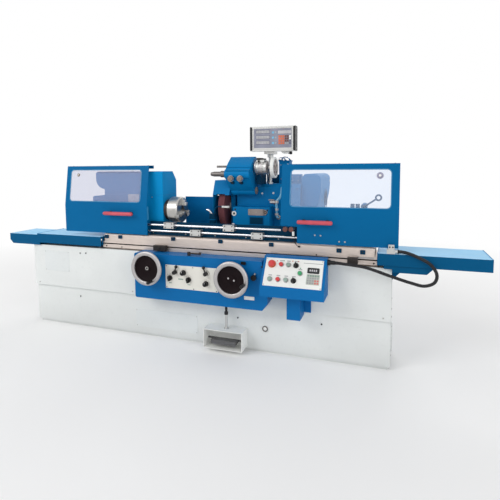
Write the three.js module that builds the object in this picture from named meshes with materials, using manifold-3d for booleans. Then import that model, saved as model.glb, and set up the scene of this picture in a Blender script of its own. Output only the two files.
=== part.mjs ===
// A cylindrical grinding machine on its long floor bed, in millimetres.
// X runs along the table, Y to the back and Z up; X 0 is the bed's middle and z 0 the floor.
// Inside the machine group y 0 is the plinth's front face, and the group moves that to the bed's middle.
import * as THREE from "three";
import { mergeVertices } from "three/addons/utils/BufferGeometryUtils.js";
import Module from "manifold-3d";

const wasm = await Module();
wasm.setup();

// Clearances and stock shared by the whole machine.
const seat = 0.3; // between pieces that rest on or in one another
const running = 0.6; // round a shaft, a tongue or a way
const sheet = 3; // folded sheet steel
const overrun = 20; // how far a cutter or a joined piece runs past a face
const round = 28; // sides of a large round piece
const small = 12; // sides of a small round piece
const centreDepth = 136; // grinding centre line behind the plinth's front face

const bed = {
  halfLength: 1450,
  depth: 290,
  plinthHeight: 330,
  upperHeight: 346,
  lip: 20,
  rearCentre: 400,
  rearWidth: 700,
  rearBack: 1330,
  toeInset: 14,
  toeHeight: 22,
};
const bedBase = bed.plinthHeight + seat;
const bedTop = bedBase + bed.upperHeight;

const plate = {
  thickness: 2,
  ratingLeft: -1334,
  ratingWidth: 256,
  ratingBottom: 460,
  ratingHeight: 170,
  nameLeft: -458,
  nameWidth: 541,
  nameBottom: 70,
  nameHeight: 142,
};
const plug = { radius: 11, ring: 19, height: 3 };
const upperPlugs = [
  { x: -962, z: 627 },
  { x: -906, z: 630 },
];
const lowerPlugs = [
  { x: -994, z: 258 },
  { x: 406, z: 235 },
  { x: 1010, z: 259 },
];
const levelPlug = { x: 610, z: 182 };

const way = {
  leftShort: 98,
  rightShort: 58,
  lift: 13.7,
  veeY: 40,
  veeHalf: 30,
  veeHeight: 26,
  flatY: 207,
  flatHalf: 28,
};
const wayLeft = -bed.halfLength + way.leftShort;
const wayRight = bed.halfLength - way.rightShort;
const crossWay = { front: 330, back: 1290, left: 210, right: 640 };

const table = { centre: 313, halfLength: 1047, front: -20, depth: 258, thickness: 50 };
const tableBase = bedTop + way.lift;
const tableTop = tableBase + table.thickness;
const tableLeft = table.centre - table.halfLength;
const tableRight = table.centre + table.halfLength;
const dogSlot = { below: 18, neck: 8, neckDepth: 8, head: 15, headDepth: 7 };
const pivot = { y: 109, radius: 30, height: 14 };

const swivel = {
  inset: 15,
  front: -18,
  depth: 253,
  thickness: 61.7,
  bevel: 10,
  gutterWidth: 13,
  gutterDepth: 20,
  gutterWall: 9,
};
const swivelHalf = table.halfLength - swivel.inset;
const swivelBase = tableTop + seat;
const swivelTop = swivelBase + swivel.thickness;
const centreLift = 190; // grinding centre line above the swivel table
const centreHeight = swivelTop + centreLift;
const topSlot = { y: 136, neck: 16, neckDepth: 12, head: 28, headDepth: 12 };

const endCover = {
  under: 84,
  past: 246,
  height: 86,
  corner: 32,
};
const endCoverInner = -bed.halfLength + endCover.under;
const endCoverOuter = -bed.halfLength - endCover.past;
const endCoverTop = bedTop + endCover.height;
const tray = {
  under: 50,
  past: 240,
  height: 62,
  front: -38,
  back: 246,
  drop: 20,
  corner: 40,
  gussetRun: 55,
  gussetDrop: 56,
  gussetThickness: 6,
  gussetInset: 68,
};
const trayInner = bed.halfLength - tray.under;
const trayOuter = bed.halfLength + tray.past;
const trayRim = bedTop + tray.height;
const cover = {
  leftLength: 651,
  rightLength: 642,
  rise: 34,
  skirtLift: 8,
  front: -45,
  back: 252,
  lip: 6,
  plateFront: -30,
  plateBack: 236,
  plateLift: 16,
};
const coverTop = tableTop + cover.rise;
const coverBottom = tableBase + cover.skirtLift;
const clamp = { along: 81, width: 50, y: -34, depth: 22, height: 30, gland: 13, glandLength: 14 };
const clampX = tableRight + clamp.along;

const dog = {
  bottomDrop: 43,
  topDrop: 2,
  front: -58,
  back: -23,
  leftX: -198,
  leftWidth: 104,
  rightX: 1211,
  rightWidth: 65,
  knob: 9,
  knobLength: 5,
};
const reverser = {
  x: 75,
  y: -104,
  hub: 12,
  height: 26,
  reach: 88,
  armHalf: 6,
  armLift: 11,
  armThickness: 10,
  knob: 9,
};

const rail = {
  left: -330,
  right: 830,
  front: 38,
  top: 908,
  foot: 14,
  blockWidth: 84,
  blockHeight: 44,
  blockFront: -12,
  upperZ: 884,
  lowerZ: 838,
  rodY: 12,
  rodRadius: 8,
  upperBlocks: [-141, 343],
  lowerBlocks: [80, 556],
  switchLeft: 734,
  switchRight: 822,
  switchHeight: 14,
  rollerRadius: 11,
  rollerFront: -14,
  rollerBack: 1,
};

const door = {
  front: -20,
  bottom: 806,
  crease: 1022,
  top: 1335,
  lean: 48,
  flange: 66,
  lip: 24,
  stripDepth: 22,
  stripBottom: 922,
  notchRight: 843,
  notchTop: 922,
  handleOut: 42,
  handleRadius: 14,
  handlePost: 9,
  bracketHalf: 13,
  bracketBack: 24,
};
const leftDoor = {
  outer: -1096,
  inner: -320,
  windowLeft: -1052,
  windowRight: -381,
  windowBottom: 1053,
  windowTop: 1304,
  handleLeft: -676,
  handleRight: -432,
  handleZ: 967,
  rodFar: 725,
  rodZ: 884,
  brackets: [-1074, -760],
};
const rightDoor = {
  outer: 1485,
  inner: 730,
  windowLeft: 792,
  windowRight: 1436,
  windowBottom: 1051,
  windowTop: 1298,
  handleLeft: 863,
  handleRight: 1073,
  handleZ: 954,
  rodFar: -330,
  rodZ: 838,
  brackets: [1140, 1460],
};
const pane = { corner: 26, cornerSteps: 4 };

const head = {
  right: -225,
  left: -700,
  tailLeft: -884,
  baseLeft: -760,
  front: 60,
  back: 270,
  baseBack: 232,
  baseHeight: 48,
  splitRise: 115,
  tailRise: 100,
  cowlRise: 298,
  cowlLeft: -844,
  underRise: 158,
  cowlStep: -764,
  cowlRound: 80,
  chamferY: 55,
  chamferZ: 69,
  nose: 62,
  edge: 12,
};
const headSplit = centreHeight + head.splitRise;
const headTailTop = centreHeight + head.tailRise;
const cowlTop = centreHeight + head.cowlRise;
const cowlUnder = centreHeight + head.underRise;

const chuck = {
  back: -221,
  plateRadius: 78,
  plateLength: 40,
  radius: 100,
  face: -98,
  bevel: 7,
  bore: 25,
  boreDepth: 42,
};
const jaw = {
  width: 24,
  slotDepth: 22,
  inner: 34,
  outer: 95,
  tip: -60,
  stepsShare: [1, 0.66, 0.34],
};

const tail = {
  left: 1090,
  right: 1340,
  front: 60,
  back: 220,
  footHeight: 44,
  waist: 18,
  barrel: 48,
  boreDepth: 150,
  knobRadius: 14,
  knobHeight: 26,
  knobX: 1206,
  knobGap: 34,
  bossX: 1266,
  bossRadius: 20,
  bossRise: 60,
};
const bossZ = centreHeight + tail.bossRise;
const quill = { radius: 25, length: 158, out: 28, cone: 27, coneRadius: 14 };
const lever = {
  rodRadius: 6,
  ringRadius: 17,
  ringTube: 6,
  tipX: 1358,
  tipRise: 122,
  hub: 15,
  reach: 12,
};

const shield = { left: -164, right: 86, back: 311, foot: 56, top: 1083 };

const wheelhead = {
  carriageLeft: 100,
  carriageRight: 740,
  carriageFront: 400,
  carriageBack: 1150,
  carriageTop: 780,
  swivelRadius: 205,
  swivelX: 450,
  swivelY: 700,
  left: 262,
  right: 775,
  front: 385,
  back: 980,
  bottom: 812,
  top: 1185,
  edge: 26,
  noseRight: 560,
  noseFront: 285,
  noseTop: 1010,
  postX: 526,
  postY: 432,
  postRadius: 14,
  postFoot: 24,
  postFootHeight: 12,
  postTop: 1392,
  pinRadius: 9,
  pinTop: 1416,
};
const grinding = {
  left: 138,
  width: 52,
  radius: 200,
  y: 480,
  flange: 82,
  flangeWidth: 10,
  arbor: 30,
  nut: 34,
  nutWidth: 12,
};
const guard = {
  left: 96,
  right: 236,
  wall: 4,
  bottom: 780,
  top: 1215,
  front: 272,
  back: 712,
  chinY: 405,
  chinZ: 1080,
  chinRun: 24,
  mouthZ: 1100,
  browRun: 49,
  browDrop: 115,
  backRun: 72,
  backDrop: 75,
  sideGap: 10,
};
const motor = { right: 925, front: 430, back: 900, bottom: 900, top: 1262, round: 46, slope: 60, notch: 26 };
const drive = {
  left: 452,
  right: 546,
  y: 300,
  z: 1313,
  radius: 52,
  ribs: 5,
  ribDepth: 4,
  shaft: 12,
  pulleyLeft: 583,
  pulleyRight: 603,
  pulley: 77,
  footLeft: 455,
  footRight: 489,
  footBack: 440,
  footInset: 26,
};
const internal = {
  left: 240,
  right: 437,
  pivotY: 337.5,
  pivotZ: 1136,
  hub: 38,
  lugHalf: 40,
  lugRadius: 35,
  pin: 14,
  back: 375,
  top: 1397,
  crown: 62,
  shoulderY: 228,
  shoulderZ: 1335,
  barrelY: 200,
  barrelZ: 1266,
  barrel: 36,
  chinY: 252,
  chinZ: 1172,
  groove: 4,
  grooveGap: 26,
  knob: 21,
  knobLength: 18,
  knobXs: [296, 370],
  knobZ: 1232,
  guardRod: 8,
  guardRodY: 246,
  guardRodZ: 1323,
  guardRodLeft: 150,
};
const spindle = { length: 120, collar: 25, collarLength: 36, radius: 19, tip: 13, tipLength: 26 };

const readout = {
  width: 348,
  height: 184,
  depth: 78,
  bottom: 1436,
  x: 582,
  y: 330,
  yaw: THREE.MathUtils.degToRad(2),
  cap: 16,
  capProud: 5,
  bezel: 12,
  bezelDepth: 4,
  collar: 24,
  arm: 20,
};

const apron = {
  left: -364,
  right: 671,
  shoulder: 634,
  shoulderZ: 478,
  front: -136,
  bottom: 354,
  top: 690,
  cornerX: 38,
  cornerZ: 56,
  edge: 8,
  panelLeft: -99,
  panelRight: 312,
  panelBottom: 450,
  panelTop: 620,
  panelProud: 3,
};
const handwheel = {
  radius: 125,
  tube: 11,
  hub: 34,
  hubBack: 14,
  stem: 20,
  dishInner: 106,
  web: 8,
  dish: 22,
  rimY: -205,
  grip: 13,
  gripLength: 62,
  gripAt: 98,
  neck: 7,
  neckLength: 10,
};
const wheels = [
  { name: "left_handwheel", x: -216, z: 597, turn: 1.1 },
  { name: "right_handwheel", x: 436, z: 568, turn: 0.25 },
];
const ballLever = { hub: 14, hubLength: 26, stem: 5, reach: 46, ball: 12 };
const knobs = { radius: 17, skirt: 21, length: 30, shaftLength: 6 };
const pointer = { radius: 19, length: 14, barHalf: 6 };
const stop = { radius: 11, length: 22 };
const apronControls = {
  levers: [
    { name: "table_feed_lever", x: -19, z: 570, lean: 0.35 },
    { name: "infeed_lever", x: 226, z: 578, lean: -0.3 },
  ],
  knobs: [
    { name: "left_speed_knob", x: 50, z: 572 },
    { name: "right_speed_knob", x: 225, z: 507 },
  ],
  pointers: [
    { name: "left_selector_knob", x: -61, z: 526 },
    { name: "right_selector_knob", x: 89, z: 524 },
  ],
};
const stopKnob = { x: 578, z: 579 };

const box = {
  left: 645,
  right: 1060,
  back: -66,
  bottom: 486,
  front: -230,
  lipTop: 550,
  kneeY: -112,
  kneeZ: 728,
  top: 732,
  panelInset: 18,
  panelLow: 10,
  panelHigh: 12,
  panelProud: 3,
  armLeft: 805,
  armRight: 894,
  armFront: -150,
  armBottom: 320,
  armFlange: 10,
  armFlangeRight: 942,
  glandY: -95,
  glandZ: 706,
  glandRadius: 18,
  glandLength: 45,
};
const glandCollarShare = 0.4;
const glandNeckShare = 0.72;
const button = { length: 14, travel: 5, hole: 14 };
const emergency = { radius: 22, length: 24, edge: 19, crown: 15, stem: 12 };
const selector = { barHalf: 4, barLength: 11 };

const pedalBox = {
  left: 182,
  right: 476,
  front: -115,
  bottom: 30,
  top: 168,
  wall: 4,
  pipeX: 340,
  pipeY: -60,
  pipeRadius: 9,
  collarRadius: 14,
  collarBottom: 272,
  collarTop: 292,
  footRadius: 18,
  footHeight: 7,
};
const pedal = { half: 95, thickness: 14, front: -100, fall: 36, pinRadius: 7, pinY: -32, pinZ: 78 };

const hose = {
  radius: 10.5,
  valley: 8.4,
  bore: 6,
  ribs: 76,
  points: 8,
  ribsPerBoreRing: 5,
};
const valleyShare = 0.25;
const crestShare = 0.75;
const hoseRoute = [
  [1150, -95, 704],
  [1290, -92, 690],
  [1440, -84, 645],
  [1560, -80, 611],
  [1636, -78, 598],
  [1690, -77, 622],
  [1703, -75, 668],
  [1672, -72, 724],
  [1610, -68, 762],
  [1548, -58, 785],
];

// The closed surface of a three.js geometry as a manifold solid.
function solid(geometry) {
  const loose = geometry.index ? geometry.toNonIndexed() : geometry.clone();
  const bare = new THREE.BufferGeometry().setAttribute("position", loose.getAttribute("position"));
  const merged = mergeVertices(bare);
  const made = new wasm.Manifold(
    new wasm.Mesh({
      numProp: 3,
      vertProperties: merged.attributes.position.array,
      triVerts: new Uint32Array(merged.index.array),
    }),
  );
  return made;
}

function geometryOf(body) {
  const mesh = body.getMesh();
  const geometry = new THREE.BufferGeometry();
  geometry.setAttribute("position", new THREE.BufferAttribute(mesh.vertProperties, mesh.numProp));
  geometry.setIndex(new THREE.BufferAttribute(mesh.triVerts, 1));
  const flat = geometry.toNonIndexed();
  flat.computeVertexNormals();
  return flat;
}

function joined(pieces) {
  return pieces.reduce((whole, piece) => whole.add(piece));
}

function cut(body, tools) {
  return tools.reduce((left, tool) => left.subtract(tool), body);
}

// A rectangular solid between two limits on each axis.
function block([x0, x1], [y0, y1], [z0, z1]) {
  const geometry = new THREE.BoxGeometry(Math.abs(x1 - x0), Math.abs(y1 - y0), Math.abs(z1 - z0));
  return solid(geometry.translate((x0 + x1) / 2, (y0 + y1) / 2, (z0 + z1) / 2));
}

// The plane of an outline, and the way in which it is drawn out, for each axis.
const planes = {
  x: new THREE.Matrix4().makeBasis(
    new THREE.Vector3(0, 1, 0),
    new THREE.Vector3(0, 0, 1),
    new THREE.Vector3(1, 0, 0),
  ),
  y: new THREE.Matrix4().makeBasis(
    new THREE.Vector3(1, 0, 0),
    new THREE.Vector3(0, 0, 1),
    new THREE.Vector3(0, -1, 0),
  ),
  z: new THREE.Matrix4(),
};

// An outline drawn out along an axis: (y, z) points along x, (x, z) along y and (x, y) along z.
function prism(axis, outline, from, to) {
  const points = outline instanceof THREE.Shape ? null : outline.map(([a, b]) => new THREE.Vector2(a, b));
  const shape = points ? new THREE.Shape(points) : outline;
  const geometry = new THREE.ExtrudeGeometry(shape, {
    depth: Math.abs(to - from),
    bevelEnabled: false,
    curveSegments: small / 2,
  });
  const start = axis === "y" ? -Math.max(from, to) : Math.min(from, to);
  return solid(geometry.translate(0, 0, start).applyMatrix4(planes[axis]));
}

// A profile of (radius, distance along the axis) points, turned about an axis through the given centre.
function turned(axis, [a, b], profile, sides = round) {
  const points = profile.map(([radius, along]) => new THREE.Vector2(radius, along));
  if (THREE.ShapeUtils.area(points) < 0) points.reverse();
  const geometry = new THREE.LatheGeometry(points, sides);
  if (axis === "x") geometry.rotateZ(-Math.PI / 2).translate(0, a, b);
  if (axis === "y") geometry.translate(a, 0, b);
  if (axis === "z") geometry.rotateX(Math.PI / 2).translate(a, b, 0);
  return solid(geometry);
}

function rod(axis, centre, radius, from, to, sides = small) {
  const low = Math.min(from, to);
  const high = Math.max(from, to);
  return turned(axis, centre, [[0, low], [radius, low], [radius, high], [0, high]], sides);
}

// The outline of a sheet folded along a path, with mitred bends, its thickness on the left of the path.
function folded(path, thickness) {
  const points = path.map(([a, b]) => new THREE.Vector2(a, b));
  const normals = points.slice(1).map((point, i) => {
    const along = point.clone().sub(points[i]).normalize();
    return new THREE.Vector2(-along.y, along.x);
  });
  const inner = points.map((point, i) => {
    const before = normals[Math.max(i - 1, 0)];
    const after = normals[Math.min(i, normals.length - 1)];
    const mitre = before.clone().add(after);
    return point.clone().addScaledVector(mitre, thickness / (1 + before.dot(after)));
  });
  return [...points, ...inner.reverse()].map((point) => [point.x, point.y]);
}

// A straight outline set in by the same distance on every side.
function inset(outline, distance) {
  const points = outline.map(([a, b]) => new THREE.Vector2(a, b));
  if (THREE.ShapeUtils.isClockWise(points)) points.reverse();
  return points.map((point, i) => {
    const before = point.clone().sub(points.at(i - 1)).normalize();
    const after = points[(i + 1) % points.length].clone().sub(point).normalize();
    const left = new THREE.Vector2(-before.y, before.x);
    const next = new THREE.Vector2(-after.y, after.x);
    const mitre = left.clone().add(next).multiplyScalar(distance / (1 + left.dot(next)));
    return point.clone().add(mitre).toArray();
  });
}

// A rectangle with rounded corners, as a three.js shape.
function rounded([a0, a1], [b0, b1], radius) {
  const shape = new THREE.Shape();
  shape.moveTo(a0 + radius, b0);
  shape.lineTo(a1 - radius, b0);
  shape.absarc(a1 - radius, b0 + radius, radius, -Math.PI / 2, 0);
  shape.lineTo(a1, b1 - radius);
  shape.absarc(a1 - radius, b1 - radius, radius, 0, Math.PI / 2);
  shape.lineTo(a0 + radius, b1);
  shape.absarc(a0 + radius, b1 - radius, radius, Math.PI / 2, Math.PI);
  shape.lineTo(a0, b0 + radius);
  shape.absarc(a0 + radius, b0 + radius, radius, Math.PI, Math.PI * 1.5);
  return shape;
}

function paint(color, roughness, metalness = 0) {
  return new THREE.MeshStandardMaterial({ color, roughness, metalness });
}

const cream = () => paint(0xe2e4e0, 0.55);
const blue = () => paint(0x0a5f9c, 0.4);
const royal = () => paint(0x1c63a6, 0.45);
const steel = () => paint(0xb9b4aa, 0.35, 0.85);
const chrome = () => paint(0xd6d9db, 0.18, 0.95);
const black = () => paint(0x17181a, 0.45);
const clear = () => new THREE.MeshStandardMaterial(
  { color: 0xdfe9ec, roughness: 0.08, transparent: true, opacity: 0.3 },
);

const machine = new THREE.Group();
machine.position.y = -bed.depth / 2;

function put(group, name, body, material) {
  const mesh = new THREE.Mesh(geometryOf(body), material);
  mesh.name = name;
  group.add(mesh);
  return mesh;
}

function subgroup(parent) {
  const group = new THREE.Group();
  parent.add(group);
  return group;
}

const tableGroup = subgroup(machine);
const swivelGroup = subgroup(tableGroup);
const wheelheadGroup = subgroup(machine);

// Plinth, bed and ways
function teeOutline(front, inset) {
  const left = bed.rearCentre - bed.rearWidth / 2 + inset;
  const right = bed.rearCentre + bed.rearWidth / 2 - inset;
  return [
    [-bed.halfLength + inset, front],
    [bed.halfLength - inset, front],
    [bed.halfLength - inset, bed.depth - inset],
    [right, bed.depth - inset],
    [right, bed.rearBack - inset],
    [left, bed.rearBack - inset],
    [left, bed.depth - inset],
    [-bed.halfLength + inset, bed.depth - inset],
  ];
}

function plugAt({ x, z }, face, radius = plug.radius) {
  return rod("y", [x, z], radius, face - plug.height, face + overrun);
}

function lowerPlinth() {
  const toe = prism("z", teeOutline(bed.toeInset, bed.toeInset), 0, bed.toeHeight + overrun);
  const body = prism("z", teeOutline(0, 0), bed.toeHeight, bed.plinthHeight);
  const name = block(
    [plate.nameLeft, plate.nameLeft + plate.nameWidth],
    [-plate.thickness, overrun],
    [plate.nameBottom, plate.nameBottom + plate.nameHeight],
  );
  const plugs = lowerPlugs.map((spot) => plugAt(spot, 0));
  return joined([body, toe, name, ...plugs, plugAt(levelPlug, 0, plug.ring)]);
}

function veeWay(axis, at, base, half, height, from, to) {
  const outline = [
    [at - half, base - overrun],
    [at + half, base - overrun],
    [at + half, base],
    [at, base + height],
    [at - half, base],
  ];
  return prism(axis, outline, from, to);
}

function upperBed() {
  const body = prism("z", teeOutline(-bed.lip, 0), bedBase, bedTop);
  const flatTop = tableBase - seat;
  const tableWays = [
    veeWay("x", way.veeY, bedTop, way.veeHalf, way.veeHeight, wayLeft, wayRight),
    block(
      [wayLeft, wayRight],
      [way.flatY - way.flatHalf, way.flatY + way.flatHalf],
      [bedTop - overrun, flatTop],
    ),
  ];
  const crossWays = [
    veeWay("y", crossWay.left, bedTop, way.veeHalf, way.veeHeight, crossWay.front, crossWay.back),
    block(
      [crossWay.right - way.flatHalf, crossWay.right + way.flatHalf],
      [crossWay.front, crossWay.back],
      [bedTop - overrun, flatTop],
    ),
  ];
  const rating = block(
    [plate.ratingLeft, plate.ratingLeft + plate.ratingWidth],
    [-bed.lip - plate.thickness, 0],
    [plate.ratingBottom, plate.ratingBottom + plate.ratingHeight],
  );
  const plugs = upperPlugs.map((spot) => plugAt(spot, -bed.lip));
  return joined([body, ...tableWays, ...crossWays, rating, ...plugs]);
}

// A closed cover over the bed's left end, open to the table, that the sliding cover runs over
function leftEndCover() {
  const floor = bedTop + seat;
  const outline = [
    [endCoverInner, floor],
    [endCoverOuter + endCover.corner, floor],
    [endCoverOuter, floor + endCover.corner],
    [endCoverOuter, endCoverTop],
    [endCoverInner, endCoverTop],
  ];
  const hollow = [
    [endCoverInner + overrun, floor + sheet],
    [endCoverOuter + endCover.corner + sheet / 2, floor + sheet],
    [endCoverOuter + sheet, floor + endCover.corner + sheet / 2],
    [endCoverOuter + sheet, endCoverTop - sheet],
    [endCoverInner + overrun, endCoverTop - sheet],
  ];
  return prism("y", outline, tray.front, tray.back).subtract(
    prism("y", hollow, tray.front + sheet, tray.back - sheet),
  );
}

// An open trough at the bed's right end, on a stepped floor, with gussets under it
function rightTray() {
  const floor = bedTop + seat;
  const end = bed.halfLength + seat;
  const low = floor - tray.drop;
  const outline = [
    [trayInner, floor],
    [end, floor],
    [end, low],
    [trayOuter - tray.corner, low],
    [trayOuter, low + tray.corner],
    [trayOuter, trayRim],
    [trayInner, trayRim],
  ];
  const hollow = [
    [trayInner - overrun, floor + sheet],
    [end + sheet, floor + sheet],
    [end + sheet, low + sheet],
    [trayOuter - tray.corner - sheet / 2, low + sheet],
    [trayOuter - sheet, low + tray.corner + sheet / 2],
    [trayOuter - sheet, trayRim + overrun],
    [trayInner - overrun, trayRim + overrun],
  ];
  const shell = prism("y", outline, tray.front, tray.back).subtract(
    prism("y", hollow, tray.front + sheet, tray.back - sheet),
  );
  const gusset = [
    [end, low - tray.gussetDrop],
    [end + tray.gussetRun, low],
    [end + tray.gussetRun, low + sheet / 2],
    [end, low + sheet / 2],
  ];
  const gussets = [0, bed.depth - tray.gussetInset].map(
    (y) => prism("y", gusset, y, y + tray.gussetThickness),
  );
  return joined([shell, ...gussets]);
}

// A slot along x whose neck opens down, up or to the front, as an outline in (y, z)
function frontSlot() {
  const z = tableTop - dogSlot.below;
  const mouth = table.front;
  const neckEnd = mouth + dogSlot.neckDepth;
  return [
    block([tableLeft - overrun, tableRight + overrun], [mouth - overrun, neckEnd + seat], [
      z - dogSlot.neck / 2,
      z + dogSlot.neck / 2,
    ]),
    block([tableLeft - overrun, tableRight + overrun], [neckEnd, neckEnd + dogSlot.headDepth], [
      z - dogSlot.head / 2,
      z + dogSlot.head / 2,
    ]),
  ];
}

function lowerTable() {
  const slab = block(
    [tableLeft, tableRight],
    [table.front, table.front + table.depth],
    [tableBase, tableTop],
  );
  const groove = veeWay(
    "x",
    way.veeY,
    bedTop,
    way.veeHalf + running,
    way.veeHeight + running,
    tableLeft - overrun,
    tableRight + overrun,
  );
  const boss = rod(
    "z",
    [table.centre, pivot.y],
    pivot.radius,
    tableTop - overrun,
    tableTop + pivot.height,
    round,
  );
  return cut(slab, [groove, ...frontSlot()]).add(boss);
}

// Sliding covers over the ends of the bed, held at the ends of the lower table
function wayCover(side, inner, length) {
  const outer = inner + side * length;
  const folds = [
    [cover.back, coverBottom],
    [cover.back, coverTop],
    [cover.front, coverTop],
    [cover.front, coverBottom],
  ];
  const skin = prism("x", folded(folds, sheet), inner, outer);
  const under = coverTop - sheet / 2;
  const plateInner = block([inner, inner + side * sheet], [cover.plateFront, cover.plateBack], [
    tableBase + cover.plateLift,
    under,
  ]);
  const lip = block([outer - side * sheet, outer], [cover.front + sheet / 2, cover.back - sheet / 2], [
    coverTop - sheet - cover.lip,
    under,
  ]);
  return joined([skin, plateInner, lip]);
}

function hoseClamp() {
  const base = coverTop + seat;
  const y = [clamp.y - clamp.depth / 2, clamp.y + clamp.depth / 2];
  const body = block([clampX - clamp.width / 2, clampX + clamp.width / 2], y, [base, base + clamp.height]);
  const z = base + clamp.height / 2;
  const right = clampX + clamp.width / 2;
  return body.add(rod("x", [clamp.y, z], clamp.gland, right - seat, right + clamp.glandLength));
}

function tripDog(x, width) {
  const z = tableTop - dogSlot.below;
  const neckEnd = table.front + dogSlot.neckDepth;
  const body = block(
    [x - width / 2, x + width / 2],
    [dog.front, dog.back],
    [tableTop - dog.bottomDrop, tableTop - dog.topDrop],
  );
  const neck = block([x - width / 4, x + width / 4], [dog.back - seat, neckEnd + running + seat], [
    z - dogSlot.neck / 2 + seat,
    z + dogSlot.neck / 2 - seat,
  ]);
  const nut = block(
    [x - width / 4, x + width / 4],
    [neckEnd + running, neckEnd + dogSlot.headDepth - seat],
    [z - dogSlot.head / 2 + seat, z + dogSlot.head / 2 - seat],
  );
  const screw = rod("y", [x, z], dog.knob, dog.front - dog.knobLength, dog.front + seat);
  return joined([body, neck, nut, screw]);
}

// Reversing lever on an upright hub on the apron's top
function reversingLever() {
  const base = apron.top + seat;
  const tip = reverser.x + reverser.reach;
  const low = base + reverser.armLift;
  const high = low + reverser.armThickness;
  const hub = rod("z", [reverser.x, reverser.y], reverser.hub, base, base + reverser.height);
  const arm = block(
    [reverser.x, tip],
    [reverser.y - reverser.armHalf, reverser.y + reverser.armHalf],
    [low, high],
  );
  const knob = rod("z", [tip, reverser.y], reverser.knob, low - seat, high + reverser.armHalf);
  return joined([hub, arm, knob]);
}

// Swivel table with its gutter, and the rail plate that carries the doors' rods
function swivelTable() {
  const back = swivel.front + swivel.depth;
  const gutter = back - swivel.gutterWall;
  const neck = topSlot.neck / 2;
  const wide = topSlot.head / 2;
  const outline = [
    [swivel.front, swivelBase],
    [back, swivelBase],
    [back, swivelTop - swivel.gutterWall],
    [gutter, swivelTop - swivel.gutterWall],
    [gutter, swivelTop - swivel.gutterDepth],
    [gutter - swivel.gutterWidth, swivelTop - swivel.gutterDepth],
    [gutter - swivel.gutterWidth, swivelTop],
    [topSlot.y + neck, swivelTop],
    [topSlot.y + neck, swivelTop - topSlot.neckDepth],
    [topSlot.y + wide, swivelTop - topSlot.neckDepth],
    [topSlot.y + wide, swivelTop - topSlot.neckDepth - topSlot.headDepth],
    [topSlot.y - wide, swivelTop - topSlot.neckDepth - topSlot.headDepth],
    [topSlot.y - wide, swivelTop - topSlot.neckDepth],
    [topSlot.y - neck, swivelTop - topSlot.neckDepth],
    [topSlot.y - neck, swivelTop],
    [swivel.front + swivel.bevel, swivelTop],
    [swivel.front, swivelTop - swivel.bevel],
  ];
  const slab = prism("x", outline, table.centre - swivelHalf, table.centre + swivelHalf);
  const socket = rod(
    "z",
    [table.centre, pivot.y],
    pivot.radius + running,
    swivelBase - overrun,
    tableTop + pivot.height + running,
    round,
  );
  return slab.subtract(socket);
}

function bearingBlock(x, z) {
  const half = rail.blockWidth / 2;
  const tall = rail.blockHeight / 2;
  return block([x - half, x + half], [rail.blockFront, rail.front + seat], [z - tall, z + tall]);
}

function railPlate() {
  const foot = swivelTop + seat;
  const path = [
    [rail.front + sheet + rail.foot, foot],
    [rail.front, foot],
    [rail.front, rail.top],
  ];
  const angle = prism("x", folded(path.reverse(), sheet), rail.left, rail.right);
  const blocks = [
    ...rail.upperBlocks.map((x) => bearingBlock(x, rail.upperZ)),
    ...rail.lowerBlocks.map((x) => bearingBlock(x, rail.lowerZ)),
  ];
  const bracket = block([rail.switchLeft, rail.switchRight], [rail.rollerBack - seat, rail.front + seat], [
    rail.top - rail.switchHeight,
    rail.top,
  ]);
  const z = rail.top - rail.rollerRadius;
  const rollers = [rail.switchLeft + rail.rollerRadius, rail.switchRight - rail.rollerRadius].map((x) =>
    rod("y", [x, z], rail.rollerRadius, rail.rollerFront, rail.rollerBack),
  );
  const bores = [rail.upperZ, rail.lowerZ].map((z) =>
    rod("x", [rail.rodY, z], rail.rodRadius + running, rail.left, rail.right),
  );
  const whole = joined([angle, ...blocks, bracket]);
  return cut(whole, bores).add(joined(rollers));
}

// Sliding doors: a creased panel with a leaning window field, return strips, handle and rod brackets
// A window-shaped prism square to the leaning field, from a distance before its face to a depth behind it
function windowPrism(side, clearance, before, behind) {
  const run = Math.hypot(door.lean, door.top - door.crease);
  const toField = (z) => ((z - door.crease) * run) / (door.top - door.crease);
  const shape = rounded(
    [side.windowLeft + clearance, side.windowRight - clearance],
    [toField(side.windowBottom) + clearance, toField(side.windowTop) - clearance],
    pane.corner,
  );
  const geometry = new THREE.ExtrudeGeometry(shape, {
    depth: before + behind,
    bevelEnabled: false,
    curveSegments: pane.cornerSteps,
  });
  geometry.translate(0, 0, -behind);
  geometry.rotateX(Math.PI / 2 - Math.atan2(door.lean, door.top - door.crease));
  return solid(geometry.translate(0, door.front, door.crease));
}

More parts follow.
